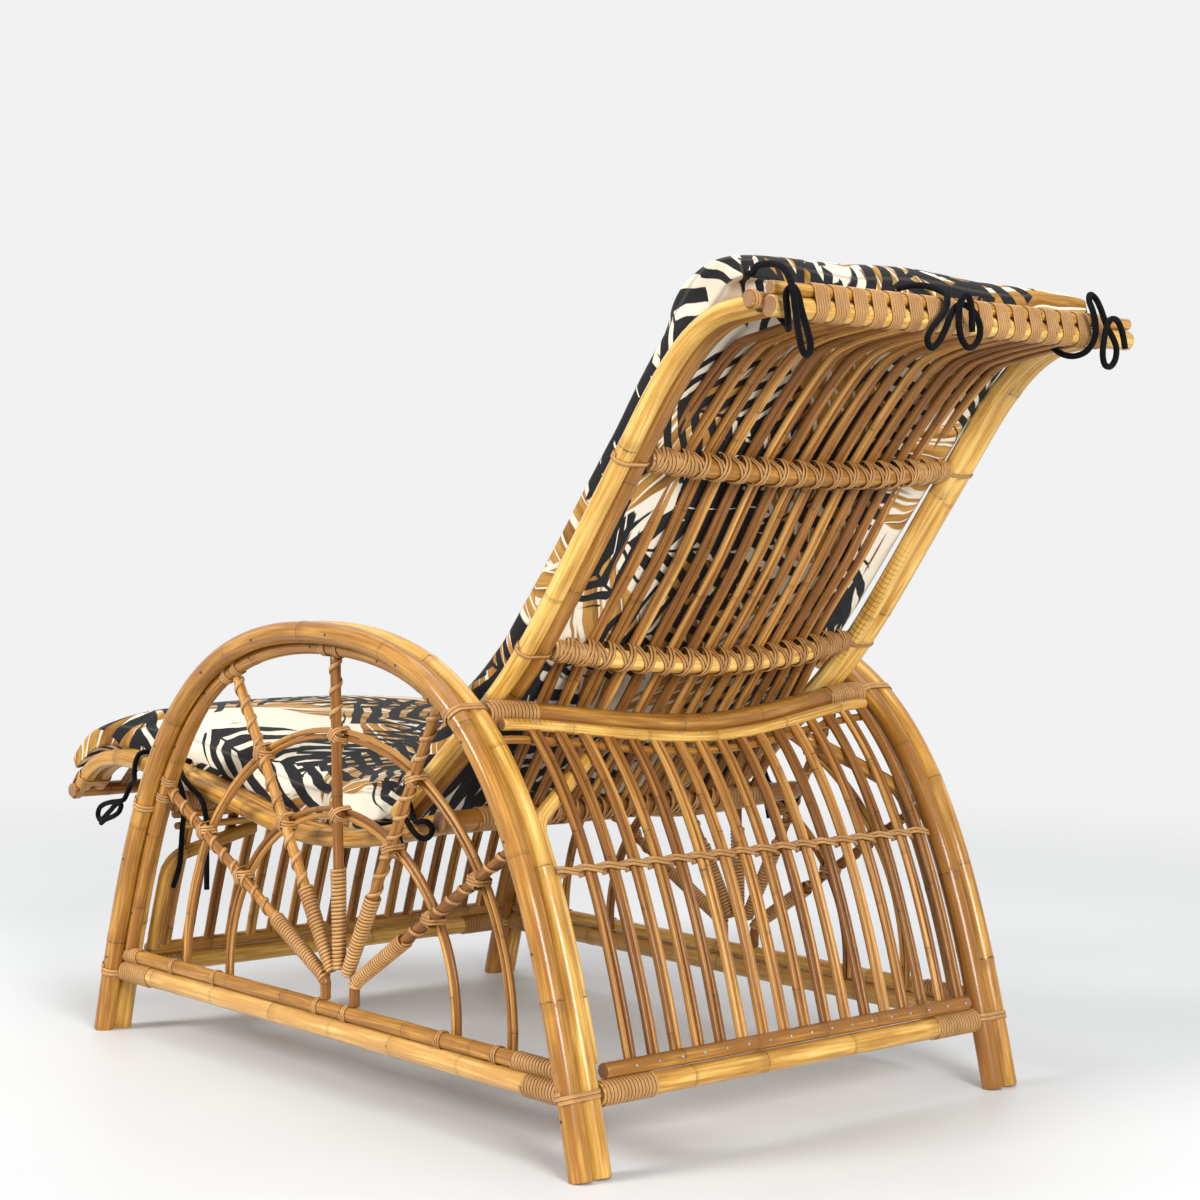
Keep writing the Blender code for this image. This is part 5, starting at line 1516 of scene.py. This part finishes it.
runs = []
for sign in (1, -1):
    for panel in (REAR_PANEL, FRONT_PANEL):
        for down in (arch_down_to(STRAP_HEIGHT), panel.rail_s):
            s = down * panel.facing
            runs.append(pair_strap(sign, ARCH_INNER_X, ARCH_OUTER_X, ARCH_RADIUS, arch_at(s),
                                   arch_normal(s), STRAP_TURNS, 0.0046))
for cross in (LOWER_CROSS, UPPER_CROSS):
    for sign in (1, -1):
        runs.append(pair_strap(sign, BACK_INNER_X, SEAT_OUTER_X, BACK_RADIUS, BACK.at(cross.s),
                               BACK.normal(cross.s), 1.6, 0.0036))
held = SEAT.at(SEAT_RADIUS)
scroll_circles = [(*SCROLL_RAIL, SCROLL_RAIL_RADIUS), (*held, SEAT_RADIUS)]
for sign in (1, -1):
    runs.append(pair_strap(sign, SEAT_INNER_X, SEAT_OUTER_X, SEAT_RADIUS, SEAT.at(SCROLL_STRAP_S),
                           SEAT.normal(SCROLL_STRAP_S), STRAP_TURNS, 0.0042))
    runs.append(strap_run((sign * (SEAT_OUTER_X + SEAT_RADIUS * 0.4), 0, 0), (0, 1, 0), (0, 0, 1),
                          scroll_circles, STRAP_TURNS, 0.0042, 0.0012))
straps("leg_and_rail_straps", runs, Cane_Width=0.0046)

runs = []
for sign in (1, -1):
    for number in range(SPOKE_COUNT):
        s = spoke_top(spoke_angle(number))[0]
        for start in (s - COLLAR_STEP - COLLAR_LONG, s + COLLAR_STEP):
            line = [across(sign * SIDE_X, LINER.at(start + COLLAR_LONG * i / 4)) for i in range(5)]
            runs.append(section(line, (sign, 0, 0), LINER_RADIUS))
    end = BACK_SIDE + TOP_FRONT_OVERHANG
    line = [across(sign * x, TOP_FRONT) for x in (end - 0.0095, end - 0.0055, end - 0.0015)]
    runs.append(section(line, WORLD_UP, TOP_FRONT_RADIUS))
winding("liner_and_pole_end_collars", runs, TIE_PITCH, Cane_Width=0.0032)

# %% [markdown]
# ## Binding of the top rail
# The three poles of the top rail are bound together between the rods. Each group is four or five
# turns of cane. The group is wound once and copied along the rail by the tree, a little unevenly.

# %% Top rail binding
BINDING_TURNS = 5.4
BINDING_SPACING = 0.0034
top_circles = [(*TOP_FRONT, TOP_FRONT_RADIUS), (*TOP_REAR, TOP_REAR_RADIUS),
               (*TOP_THIN, TOP_THIN_RADIUS)]
group = strap_run((-PAIR_STEP * BACK_PAIRS / 2, 0, 0), (0, 1, 0), (0, 0, 1), top_circles,
                  BINDING_TURNS, BINDING_SPACING, 0.0008)
straps("top_rail_cane_binding", [group], "top_rail_binding", Cane_Width=0.0032,
       Cane_Thickness=0.0017, Copies=float(BACK_PAIRS + 1), Copy_Step=PAIR_STEP)

# %% [markdown]
# ## Twisted band of the rear panel
# Half way up the rear panel two strands are twisted through the rods to keep their spacing. A strand
# is two canes that pass in front of one pair and behind the next, and rise across each pair.

# %% Twining
TWINE_HEIGHT = 0.289
TWINE_BESIDE = 0.0019     # two canes lie side by side in each strand
TWINE_DEPTH = 0.0058      # from the middle of the rods to a strand in front of them or behind them
TWINE_RISE = 0.0026
TWINE_STEPS = 240
TWINE_HALF = INNER_FACE_X - 0.004

twine_s = arch_down_to(TWINE_HEIGHT)
normal = across(0, arch_normal(twine_s))
upward = Vector((1, 0, 0)).cross(normal)
for label, shift in (("first", 0), ("second", 1)):
    middles = []
    for i in range(TWINE_STEPS + 1):
        spot = REAR_PANEL.point(-TWINE_HALF + 2 * TWINE_HALF * i / TWINE_STEPS, twine_s)
        pairs = (spot.x - REAR_PANEL.pair_middles[0]) / REAR_PANEL.pair_step
        turn = math.pi * (pairs + shift)
        side = max(-1.0, min(1.0, 2.0 * math.cos(turn)))
        middles.append(spot + normal * TWINE_DEPTH * side + upward * TWINE_RISE * math.sin(turn))
    strands = [section([middle + upward * beside for middle in middles], normal, 0.0)
               for beside in (-TWINE_BESIDE, TWINE_BESIDE)]
    straps(f"twisted_band_{label}_strand", strands, Cane_Width=0.0036, Cane_Thickness=0.0028)

# %% [markdown]
# ## Nails
# The liners and strips are held by small nails. A nail head is one low dome that the tree places at
# every marked point, turned to face out of the pole.

# %% Nails
def nail_tree():
    graph, given, size = new_tree("Nail heads", {"Head Radius": 0.0017, "Head Height": 0.0007})
    ball = graph.shape("GeometryNodeMeshIcoSphere", Radius=1.0, Subdivisions=2)
    dome = graph.vector(size["Head Radius"], size["Head Radius"], size["Head Height"])
    head = graph.shape("GeometryNodeTransform", Geometry=ball, Scale=dome)
    turn = graph.value("FunctionNodeAlignRotationToVector", {"axis": "Z"},
                       {"Vector": graph.named("outward")})
    heads = graph.shape("GeometryNodeInstanceOnPoints", Points=given["Geometry"], Instance=head,
                        Rotation=turn)
    return realized(graph, heads, given["Finish"])


NAILS = nail_tree()


def nail_finish(name, dark, light, metallic):
    look, graph, shader = new_finish(name, 0.45, Metallic=metallic)
    rust = graph.noise(graph.place(), 900.0, 3.0)
    paint(graph, shader, graph.mix(rust.above(0.5, 0.15), dark, light), rust, 0.0002, 0.5,
          rust * 0.4 + 0.25)
    return look


dark_nail_look = nail_finish("Dark nail", (0.020, 0.014, 0.012), (0.085, 0.065, 0.055), 0.6)
bright_nail_look = nail_finish("Bright nail", (0.22, 0.20, 0.19), (0.62, 0.60, 0.58), 0.9)


def nails(name, spots, look, **sizes):
    runs = [([spot], [facing], [0.0]) for spot, facing in spots]
    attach(run_tree(name, runs, NAILS, look, sizes), "root")


NAIL_BESIDE = 0.002       # from a rod pair's middle to its nail in the bottom strip
NAIL_SUNK = 0.99          # share of the pole's radius at which a nail head starts
draw = random.Random(9)
spots = []
for sign in (1, -1):
    out = Vector((sign, 0, 0))
    s = -ARCH_HALF + 0.10
    while s < ARCH_HALF - 0.05:
        spots.append((across(sign * ARCH_OUTER_X, arch_at(s, draw.uniform(0.0, 0.004)))
                      + out * ARCH_RADIUS * NAIL_SUNK, out))
        s += draw.uniform(0.11, 0.17)
    s = 0.05
    while s < LINER.length - 0.05:
        spots.append((across(sign * SIDE_X, LINER.at(s)) + out * LINER_RADIUS * NAIL_SUNK, out))
        s += draw.uniform(0.09, 0.14)
nails("arch_nails", spots, dark_nail_look)

spots = []
for panel in (REAR_PANEL, FRONT_PANEL):
    for number, x in enumerate(panel.pair_middles):
        heads = []
        if number % 3 != 2:
            s = panel.rail_s + panel.sag(x) + panel.strip_step
            heads.append((x, s, -STRIP_OUT - TOP_STRIP_RADIUS + 0.0005))
        heads.append((x + NAIL_BESIDE, panel.bottom_s, -STRIP_OUT - BOTTOM_STRIP_RADIUS))
        for at_x, s, inset in heads:
            spot = panel.point(at_x, s, inset)
            spots.append((spot, (spot - panel.point(at_x, s)).normalized()))
nails("strip_nails", spots, bright_nail_look, Head_Radius=0.0016)

# %% [markdown]
# ## The printed cloth
# The pad is sewn from a bold printed cotton: black fern fronds and ochre seed pods with a wood-like
# grain on cream. The print is made of layers of random cells. Each cell holds one motif, drawn in its
# own turned axes by a few formulas, so nothing is painted by hand.

# %% Print finish
CREAM = (0.80, 0.735, 0.600)
INK = (0.012, 0.012, 0.014)
OCHRE_DARK = (0.200, 0.080, 0.014)
OCHRE_LIGHT = (0.560, 0.300, 0.070)


def motif_axes(graph, spot, per_metre, shift):
    """Each cell's own axes: along the motif, across it, and a random number of the cell."""
    moved = graph.vector_sum("ADD", spot, shift)
    cells = graph.node("ShaderNodeTexVoronoi", {"voronoi_dimensions": "2D", "feature": "F1"},
                       {"Vector": moved, "Scale": per_metre, "Randomness": 0.75})
    off = graph.node("ShaderNodeSeparateXYZ", None, {
        "Vector": graph.vector_sum("SUBTRACT", moved, cells.outputs["Position"])})
    draw = graph.node("ShaderNodeSeparateColor", None, {"Color": cells.outputs["Color"]})
    turn = Value(graph, draw.outputs[0]) * (2 * math.pi)
    cosine, sine = turn.math("COSINE"), turn.math("SINE")
    x, y = Value(graph, off.outputs[0]), Value(graph, off.outputs[1])
    return x * cosine + y * sine, y * cosine - x * sine, Value(graph, draw.outputs[1])


def fronds(graph, spot, per_metre, shift, long, wide, leaf):
    """1 inside the leaflets of a fern frond in each cell."""
    along, over, number = motif_axes(graph, spot, per_metre, shift)
    over = over + along * along * (number - 0.5) * 4.5
    side = abs(over)
    wave = graph.noise(spot, 38.0, 2.0) - 0.5
    reach = 1.0 - (along / long).power(2.0)
    room = reach * wide + wave * 0.010 - side
    leaflet = ((side * 0.9 - along) / leaf).math("FRACT") - 0.5
    thick = 0.34 - side / wide * 0.17 + wave * 0.12
    inside = (thick - abs(leaflet)).above(0.0, 0.02) * room.above(0.0, 0.0015)
    stem = (side * -1.0 + 0.0022).above(0.0, 0.0006) * reach.above(0.05, 0.02)
    return (inside + stem).clamped()


def pods(graph, spot, per_metre, shift, long, wide):
    """1 inside a lens-shaped pod in each cell, its rim, and the axes for its grain."""
    along, over, number = motif_axes(graph, spot, per_metre, shift)
    over = over + along * along * (number - 0.5) * 2.2
    room = (1.0 - (along / long).power(2.0)) * wide - abs(over)
    return room.above(0.0, 0.0012), room.above(-0.006, 0.0012), along, over


cloth_look, graph, shader = new_finish("Printed cotton", 0.85, Sheen_Weight=0.05,
                                       Specular_IOR_Level=0.15)
uv = graph.node("ShaderNodeUVMap", {"uv_map": "UVMap"}).outputs[0]
drift = graph.node("ShaderNodeTexNoise", {"noise_dimensions": "2D"},
                   {"Vector": uv, "Scale": 9.0, "Detail": 2.0})
wavy = graph.vector_sum("ADD", uv, graph.scaled(
    graph.vector_sum("SUBTRACT", drift.outputs["Color"], (0.5, 0.5, 0.5)), 0.030))
weave = graph.noise(uv, 900.0, 2.0)
colour = graph.mix(weave * 0.25, CREAM, darker(CREAM, 0.86))
leaf, rim, along, over = pods(graph, wavy, 2.7, (5.5, 7.3, 0.0), 0.220, 0.075)
vein = graph.noise(graph.vector(along * 4.0, over * 34.0, 5.0), 1.0, 1.0)
dark_leaf = graph.mix((0.016 - abs(vein - 0.5)).above(0.0, 0.007), INK, CREAM)
colour = graph.mix(leaf, colour, dark_leaf)
for shift, per_metre, long, wide in (((3.1, 1.7, 0.0), 2.9, 0.215, 0.085),
                                     ((8.4, 5.2, 0.0), 3.8, 0.160, 0.045)):
    pod, rim, along, over = pods(graph, wavy, per_metre, shift, long, wide)
    grain = graph.noise(graph.vector(along * 6.0, over * 60.0, 0.0), 1.0, 4.0, 0.6)
    hair = graph.noise(graph.vector(along * 3.5, over * 40.0, 2.0), 1.0, 1.0)
    wood = graph.mix(grain.above(0.48, 0.16), OCHRE_DARK, OCHRE_LIGHT)
    wood = graph.mix((0.018 - abs(hair - 0.5)).above(0.0, 0.008), wood, CREAM)
    colour = graph.mix(rim, colour, CREAM)
    colour = graph.mix(pod, colour, wood)
ink = fronds(graph, wavy, 2.7, (0.7, 2.9, 0.0), 0.195, 0.115, 0.036)
ink = ink.math("MAXIMUM", fronds(graph, wavy, 3.6, (6.3, 4.4, 0.0), 0.150, 0.080, 0.027))
worn = graph.noise(uv, 260.0, 3.0)
ink_tone = graph.mix(worn.above(0.6, 0.2) * 0.5, INK, darker(INK, 2.6))
colour = graph.mix(ink, colour, ink_tone)
seam = graph.attribute("seam")
paint(graph, shader, graph.mix(seam.above(0.75, 0.2) * 0.35, colour, (0.12, 0.10, 0.08)),
      weave * 0.4 - seam.above(0.7, 0.3) * 1.2, 0.0007, 0.45)

# %% [markdown]
# ## The pad cushion
# The pad is one long boxed cushion, so it starts as a grid that runs over a top, a bottom, two sides
# and two ends, bent along the seat and back. Its ends pull in between their corners, as sewn ends do.

# %% Cushion form
CUSHION_HALF_WIDTH = 0.264
CUSHION_EDGE = 0.034
CUSHION_CROWN = 0.019
CUSHION_END_EDGE = 0.017
CUSHION_FRONT_TAPER = 0.30
CUSHION_TOP_TAPER = 0.14
CUSHION_WAIST = 0.012
CUSHION_END_PULL = 0.015
CUSHION_PUFF = 0.010      # how much fuller it is where it rolls over the top rail
CUSHION_PUFF_REACH = 0.16
CUSHION_BELLY = 0.004
CUSHION_PULL_REACH = 0.12
CUSHION_WAIST_REACH = 0.25
CUSHION_SEAT_LIFT = 0.0020
CUSHION_BACK_LIFT = 0.0050
CUSHION_TOP_SETBACK = 0.0116
CUSHION_FRONT_REACH = 0.0015
CUSHION_BEND_Y = (-0.01, 0.13)
CUSHION_CELL = 0.0085


def cushion_line():
    """The curve under the cushion, which lies on the seat and back rails."""
    bend_start = where(lambda s: SEAT.at(s).x - CUSHION_BEND_Y[0], 0.0, SEAT.length)
    bend_end = back_at_y(CUSHION_BEND_Y[1])
    seat_lift = SEAT_RADIUS + CUSHION_SEAT_LIFT
    back_lift = BACK_RADIUS + CUSHION_BACK_LIFT
    seat = [SEAT.at(s, seat_lift) for s in spread(-CUSHION_FRONT_REACH, bend_start, 0.02)]
    back = [BACK.at(s, back_lift) for s in spread(bend_end, BACK.length - CUSHION_TOP_SETBACK, 0.02)]
    reach = (back[0] - seat[-1]).length * 0.4
    leave = seat[-1] + SEAT.run(bend_start) * reach
    arrive = back[0] - BACK.run(bend_end) * reach
    bend = [bezier(seat[-1], leave, arrive, back[0], i / 12) for i in range(1, 12)]
    return SideCurve(seat + bend + back)


PAD = cushion_line()


def pad_place(over, s, up):
    """A place in the pad: over from -1 to 1 across it, s along it, up from 0 under it to 1 on top."""
    share = s / PAD.length
    from_end = max(0.0, 1 - abs(2 * share - 1))
    taper = CUSHION_FRONT_TAPER if share < 0.5 else CUSHION_TOP_TAPER
    full = min(1.0, from_end / taper) ** 0.5
    width = CUSHION_HALF_WIDTH - CUSHION_WAIST * min(1.0, from_end / CUSHION_WAIST_REACH) ** 0.6
    edge = CUSHION_END_EDGE + (CUSHION_EDGE - CUSHION_END_EDGE) * full
    crown = CUSHION_CROWN * full * (1 - abs(over) ** 2.4)
    belly = math.sin(math.pi * up) * CUSHION_BELLY * full
    x = over * (width + belly)
    pull = CUSHION_END_PULL * (1 - abs(over) ** 5) * max(0.0, 1 - from_end / CUSHION_PULL_REACH)
    puff = max(0.0, 1 - (1 - share) / CUSHION_PUFF_REACH)
    puff *= CUSHION_PUFF * (1.0 - over * over) ** 0.5 * (0.8 + 0.2 * math.cos(7.0 * over + 0.6))
    height = up * (edge + crown + puff)
    return across(x, PAD.at(s + math.copysign(pull, 0.5 - share), height))


def grid_side(shape, layer, seam, place, count_a, count_b, uv_of):
    """One side of the pad as a grid of faces; its rim is the seam."""
    rows = []
    for i in range(count_a + 1):
        row = []
        for j in range(count_b + 1):
            vert = shape.verts.new(place(i / count_a, j / count_b))
            vert[seam] = 1.0 if i in (0, count_a) or j in (0, count_b) else 0.0
            row.append((vert, uv_of(i / count_a, j / count_b)))
        rows.append(row)
    for low, high in zip(rows, rows[1:]):
        for near, far, beside, corner in zip(low, low[1:], high[1:], high):
            face = shape.faces.new([near[0], far[0], beside[0], corner[0]])
            for loop, spot in zip(face.loops, (near, far, beside, corner)):
                loop[layer].uv = spot[1]


def build_pad():
    shape = bmesh.new()
    layer = shape.loops.layers.uv.new("UVMap")
    seam = shape.verts.layers.float.new("seam")
    long = PAD.length
    wide = 2 * CUSHION_HALF_WIDTH
    nx, ns, nh = int(wide / CUSHION_CELL), int(long / CUSHION_CELL), 5
    top = lambda a, b: pad_place(2 * a - 1, long * b, 1.0)
    under = lambda a, b: pad_place(1 - 2 * a, long * b, 0.0)
    grid_side(shape, layer, seam, top, nx, ns, lambda a, b: (wide * a, long * b))
    grid_side(shape, layer, seam, under, nx, ns, lambda a, b: (1.3 + wide * a, 4.1 + long * b))
    for end in (1, -1):
        grid_side(shape, layer, seam, lambda a, b: pad_place(end, long * b, 1 - a if end > 0 else a),
                  nh, ns, lambda a, b: (wide + CUSHION_EDGE * a if end > 0
                                        else CUSHION_EDGE * (a - 1), long * b))
        s = long if end > 0 else 0.0
        grid_side(shape, layer, seam, lambda a, b: pad_place(2 * b - 1, s, 1 - a if end < 0 else a),
                  nh, nx, lambda a, b: (wide * b, long + CUSHION_END_EDGE * (1 - a) if end > 0
                                        else -CUSHION_END_EDGE * a))
    bmesh.ops.remove_doubles(shape, verts=shape.verts, dist=0.00005)
    bmesh.ops.recalc_face_normals(shape, faces=shape.faces)
    mesh = bpy.data.meshes.new("pad_cushion")
    shape.to_mesh(mesh)
    shape.free()
    mesh.materials.append(cloth_look)
    mesh.shade_smooth()
    return placed("pad_cushion", mesh)


pad = build_pad()
print("pad", len(pad.data.vertices), "vertices,", round(PAD.length, 3), "m long")

# %% [markdown]
# ## Filling the pad
# Real cloth is cut larger than the pad is stuffed, so it wrinkles along its seams. The cloth grows a
# little, its seams are held, and a gentle pressure blows it up for twenty frames.

# %% Cloth
CLOTH_FRAMES = 20
CLOTH_MOVES = 0.012       # the farthest that a point may move
CLOTH = {"quality": 6, "mass": 0.3, "tension_stiffness": 12.0, "compression_stiffness": 8.0,
         "shear_stiffness": 6.0, "bending_stiffness": 0.6, "use_pressure": True,
         "uniform_pressure_force": 3.0, "shrink_min": -0.035}


def fill_pad(piece):
    """Simulate the cloth, then keep each point's move under a limit."""
    before = [vert.co.copy() for vert in piece.data.vertices]
    held = piece.vertex_groups.new(name="held seams")
    seams = piece.data.attributes["seam"].data
    for index in range(len(before)):
        if seams[index].value > 0.5:
            held.add([index], 1.0, "REPLACE")
    cloth = piece.modifiers.new("Cloth", "CLOTH")
    for label, value in CLOTH.items():
        setattr(cloth.settings, label, value)
    cloth.settings.vertex_group_mass = held.name
    cloth.settings.effector_weights.gravity = 0.0
    cloth.point_cache.frame_start = 1
    cloth.point_cache.frame_end = CLOTH_FRAMES
    scene = bpy.context.scene
    for frame_number in range(1, CLOTH_FRAMES + 1):
        scene.frame_set(frame_number)
    graph = bpy.context.evaluated_depsgraph_get()
    after = [vert.co.copy() for vert in piece.evaluated_get(graph).data.vertices]
    piece.modifiers.clear()
    scene.frame_set(1)
    farthest = 0.0
    for vert, old, new in zip(piece.data.vertices, before, after):
        move = new - old
        farthest = max(farthest, move.length)
        vert.co = old + move * min(1.0, CLOTH_MOVES / max(move.length, 1e-9))
    piece.data.update()
    print("cloth moved", round(farthest, 4), "m at most")


fill_pad(pad)
smooth = pad.modifiers.new("Smooth", "SUBSURF")
smooth.levels = 1
smooth.render_levels = 1
stand_for(pad, "cloth", "cushion")

# %% [markdown]
# ## Studio
# The chair stands on a pale sweep in soft light. The floor is real near the chair, where it takes the
# shadow, and fades into an even background further off. Its colour is painted darker where the key
# lamp
# lights it most and paler further off: painted shade and painted light that even out the lamp's pool.

# %% Floor and light
FLOOR_SIZE = 7.0
FLOOR_FADE = (1.1, 3.1)
BACKGROUND = (0.885, 0.885, 0.888)
BRIGHT_SPOT = (1.5, 0.1, 0.0)          # where the strong lamp lights the floor most
# Painted shade near the bright spot and painted light further off: the floor colour evens out the key
# lamp's pool of light.
FLOOR_LIT = (0.575, 0.587, 0.595)
FLOOR_SHADED = (0.785, 0.805, 0.818)
SKY = (1.0, 0.99, 0.98)                # what lights the chair from all round
SKY_STRENGTH = 0.28

floor_mesh = bpy.data.meshes.new("floor")
corner = FLOOR_SIZE / 2
floor_mesh.from_pydata([(-corner, -corner, 0), (corner, -corner, 0), (corner, corner, 0),
                        (-corner, corner, 0)], [], [(0, 1, 2, 3)])
floor = placed("floor", floor_mesh)
floor_look, graph, shader = new_finish("Pale floor", 0.5)
place = graph.place()
mottle = graph.noise(place, 2.0, 4.0)
from_spot = graph.vector_sum("DISTANCE", place, BRIGHT_SPOT, "Value")
# Painted shade and painted light: darker floor colour near the bright spot, paler further from it,
# with a little random mottle.
lit = ((from_spot - 0.3) * 0.65 + (mottle - 0.5) * 0.3).clamped()
graph.plug(shader.inputs["Base Color"], graph.mix(lit, FLOOR_LIT, FLOOR_SHADED))
far = graph.vector_sum("LENGTH", place, (0, 0, 0), "Value")
fade = graph.node("ShaderNodeMapRange", {"interpolation_type": "SMOOTHSTEP"},
                  {"Value": far, "From Min": FLOOR_FADE[0], "From Max": FLOOR_FADE[1],
                   "To Min": 1.0, "To Max": 0.0})
graph.plug(shader.inputs["Alpha"], fade.outputs[0])
floor_mesh.materials.append(floor_look)

world = bpy.data.worlds.new("Studio")
bpy.context.scene.world = world
world.use_nodes = True
graph = Graph(world.node_tree)
behind = world.node_tree.nodes["Background"]
seen = graph.node("ShaderNodeBackground", None, {"Color": (*BACKGROUND, 1.0), "Strength": 1.0})
behind.inputs["Color"].default_value = (*SKY, 1.0)
behind.inputs["Strength"].default_value = SKY_STRENGTH
path = graph.node("ShaderNodeLightPath")
sharp_ray = Value(graph, path.outputs["Is Camera Ray"])
for ray_kind in ("Is Glossy Ray", "Is Transmission Ray"):
    sharp_ray = sharp_ray.math("MAXIMUM", path.outputs[ray_kind])
shown = graph.node("ShaderNodeMixShader", None, {0: sharp_ray, 1: behind.outputs[0],
                                                 2: seen.outputs[0]})
output = world.node_tree.nodes["World Output"]
world.node_tree.links.new(shown.outputs[0], output.inputs["Surface"])


def soft_lamp(name, place, aim, size, power, colour=(1, 1, 1)):
    lamp = bpy.data.lights.new(name, "AREA")
    lamp.shape = "RECTANGLE"
    lamp.size, lamp.size_y = size
    lamp.energy = power
    lamp.color = colour
    made = placed(name, lamp)
    made.location = place
    made.rotation_euler = (Vector(aim) - Vector(place)).to_track_quat("-Z", "Y").to_euler()


soft_lamp("Key softbox", (4.6, -1.2, 2.8), (0, 0, 0.4), (1.6, 1.6), 250, (1.0, 0.985, 0.96))
soft_lamp("Fill softbox", (1.6, 5.0, 2.2), (0, 0, 0.4), (1.8, 1.8), 265)
soft_lamp("Overhead softbox", (0.0, 0.0, 4.2), (0, 0, 0), (3.0, 3.0), 72)

bpy.context.scene.view_settings.view_transform = "Standard"
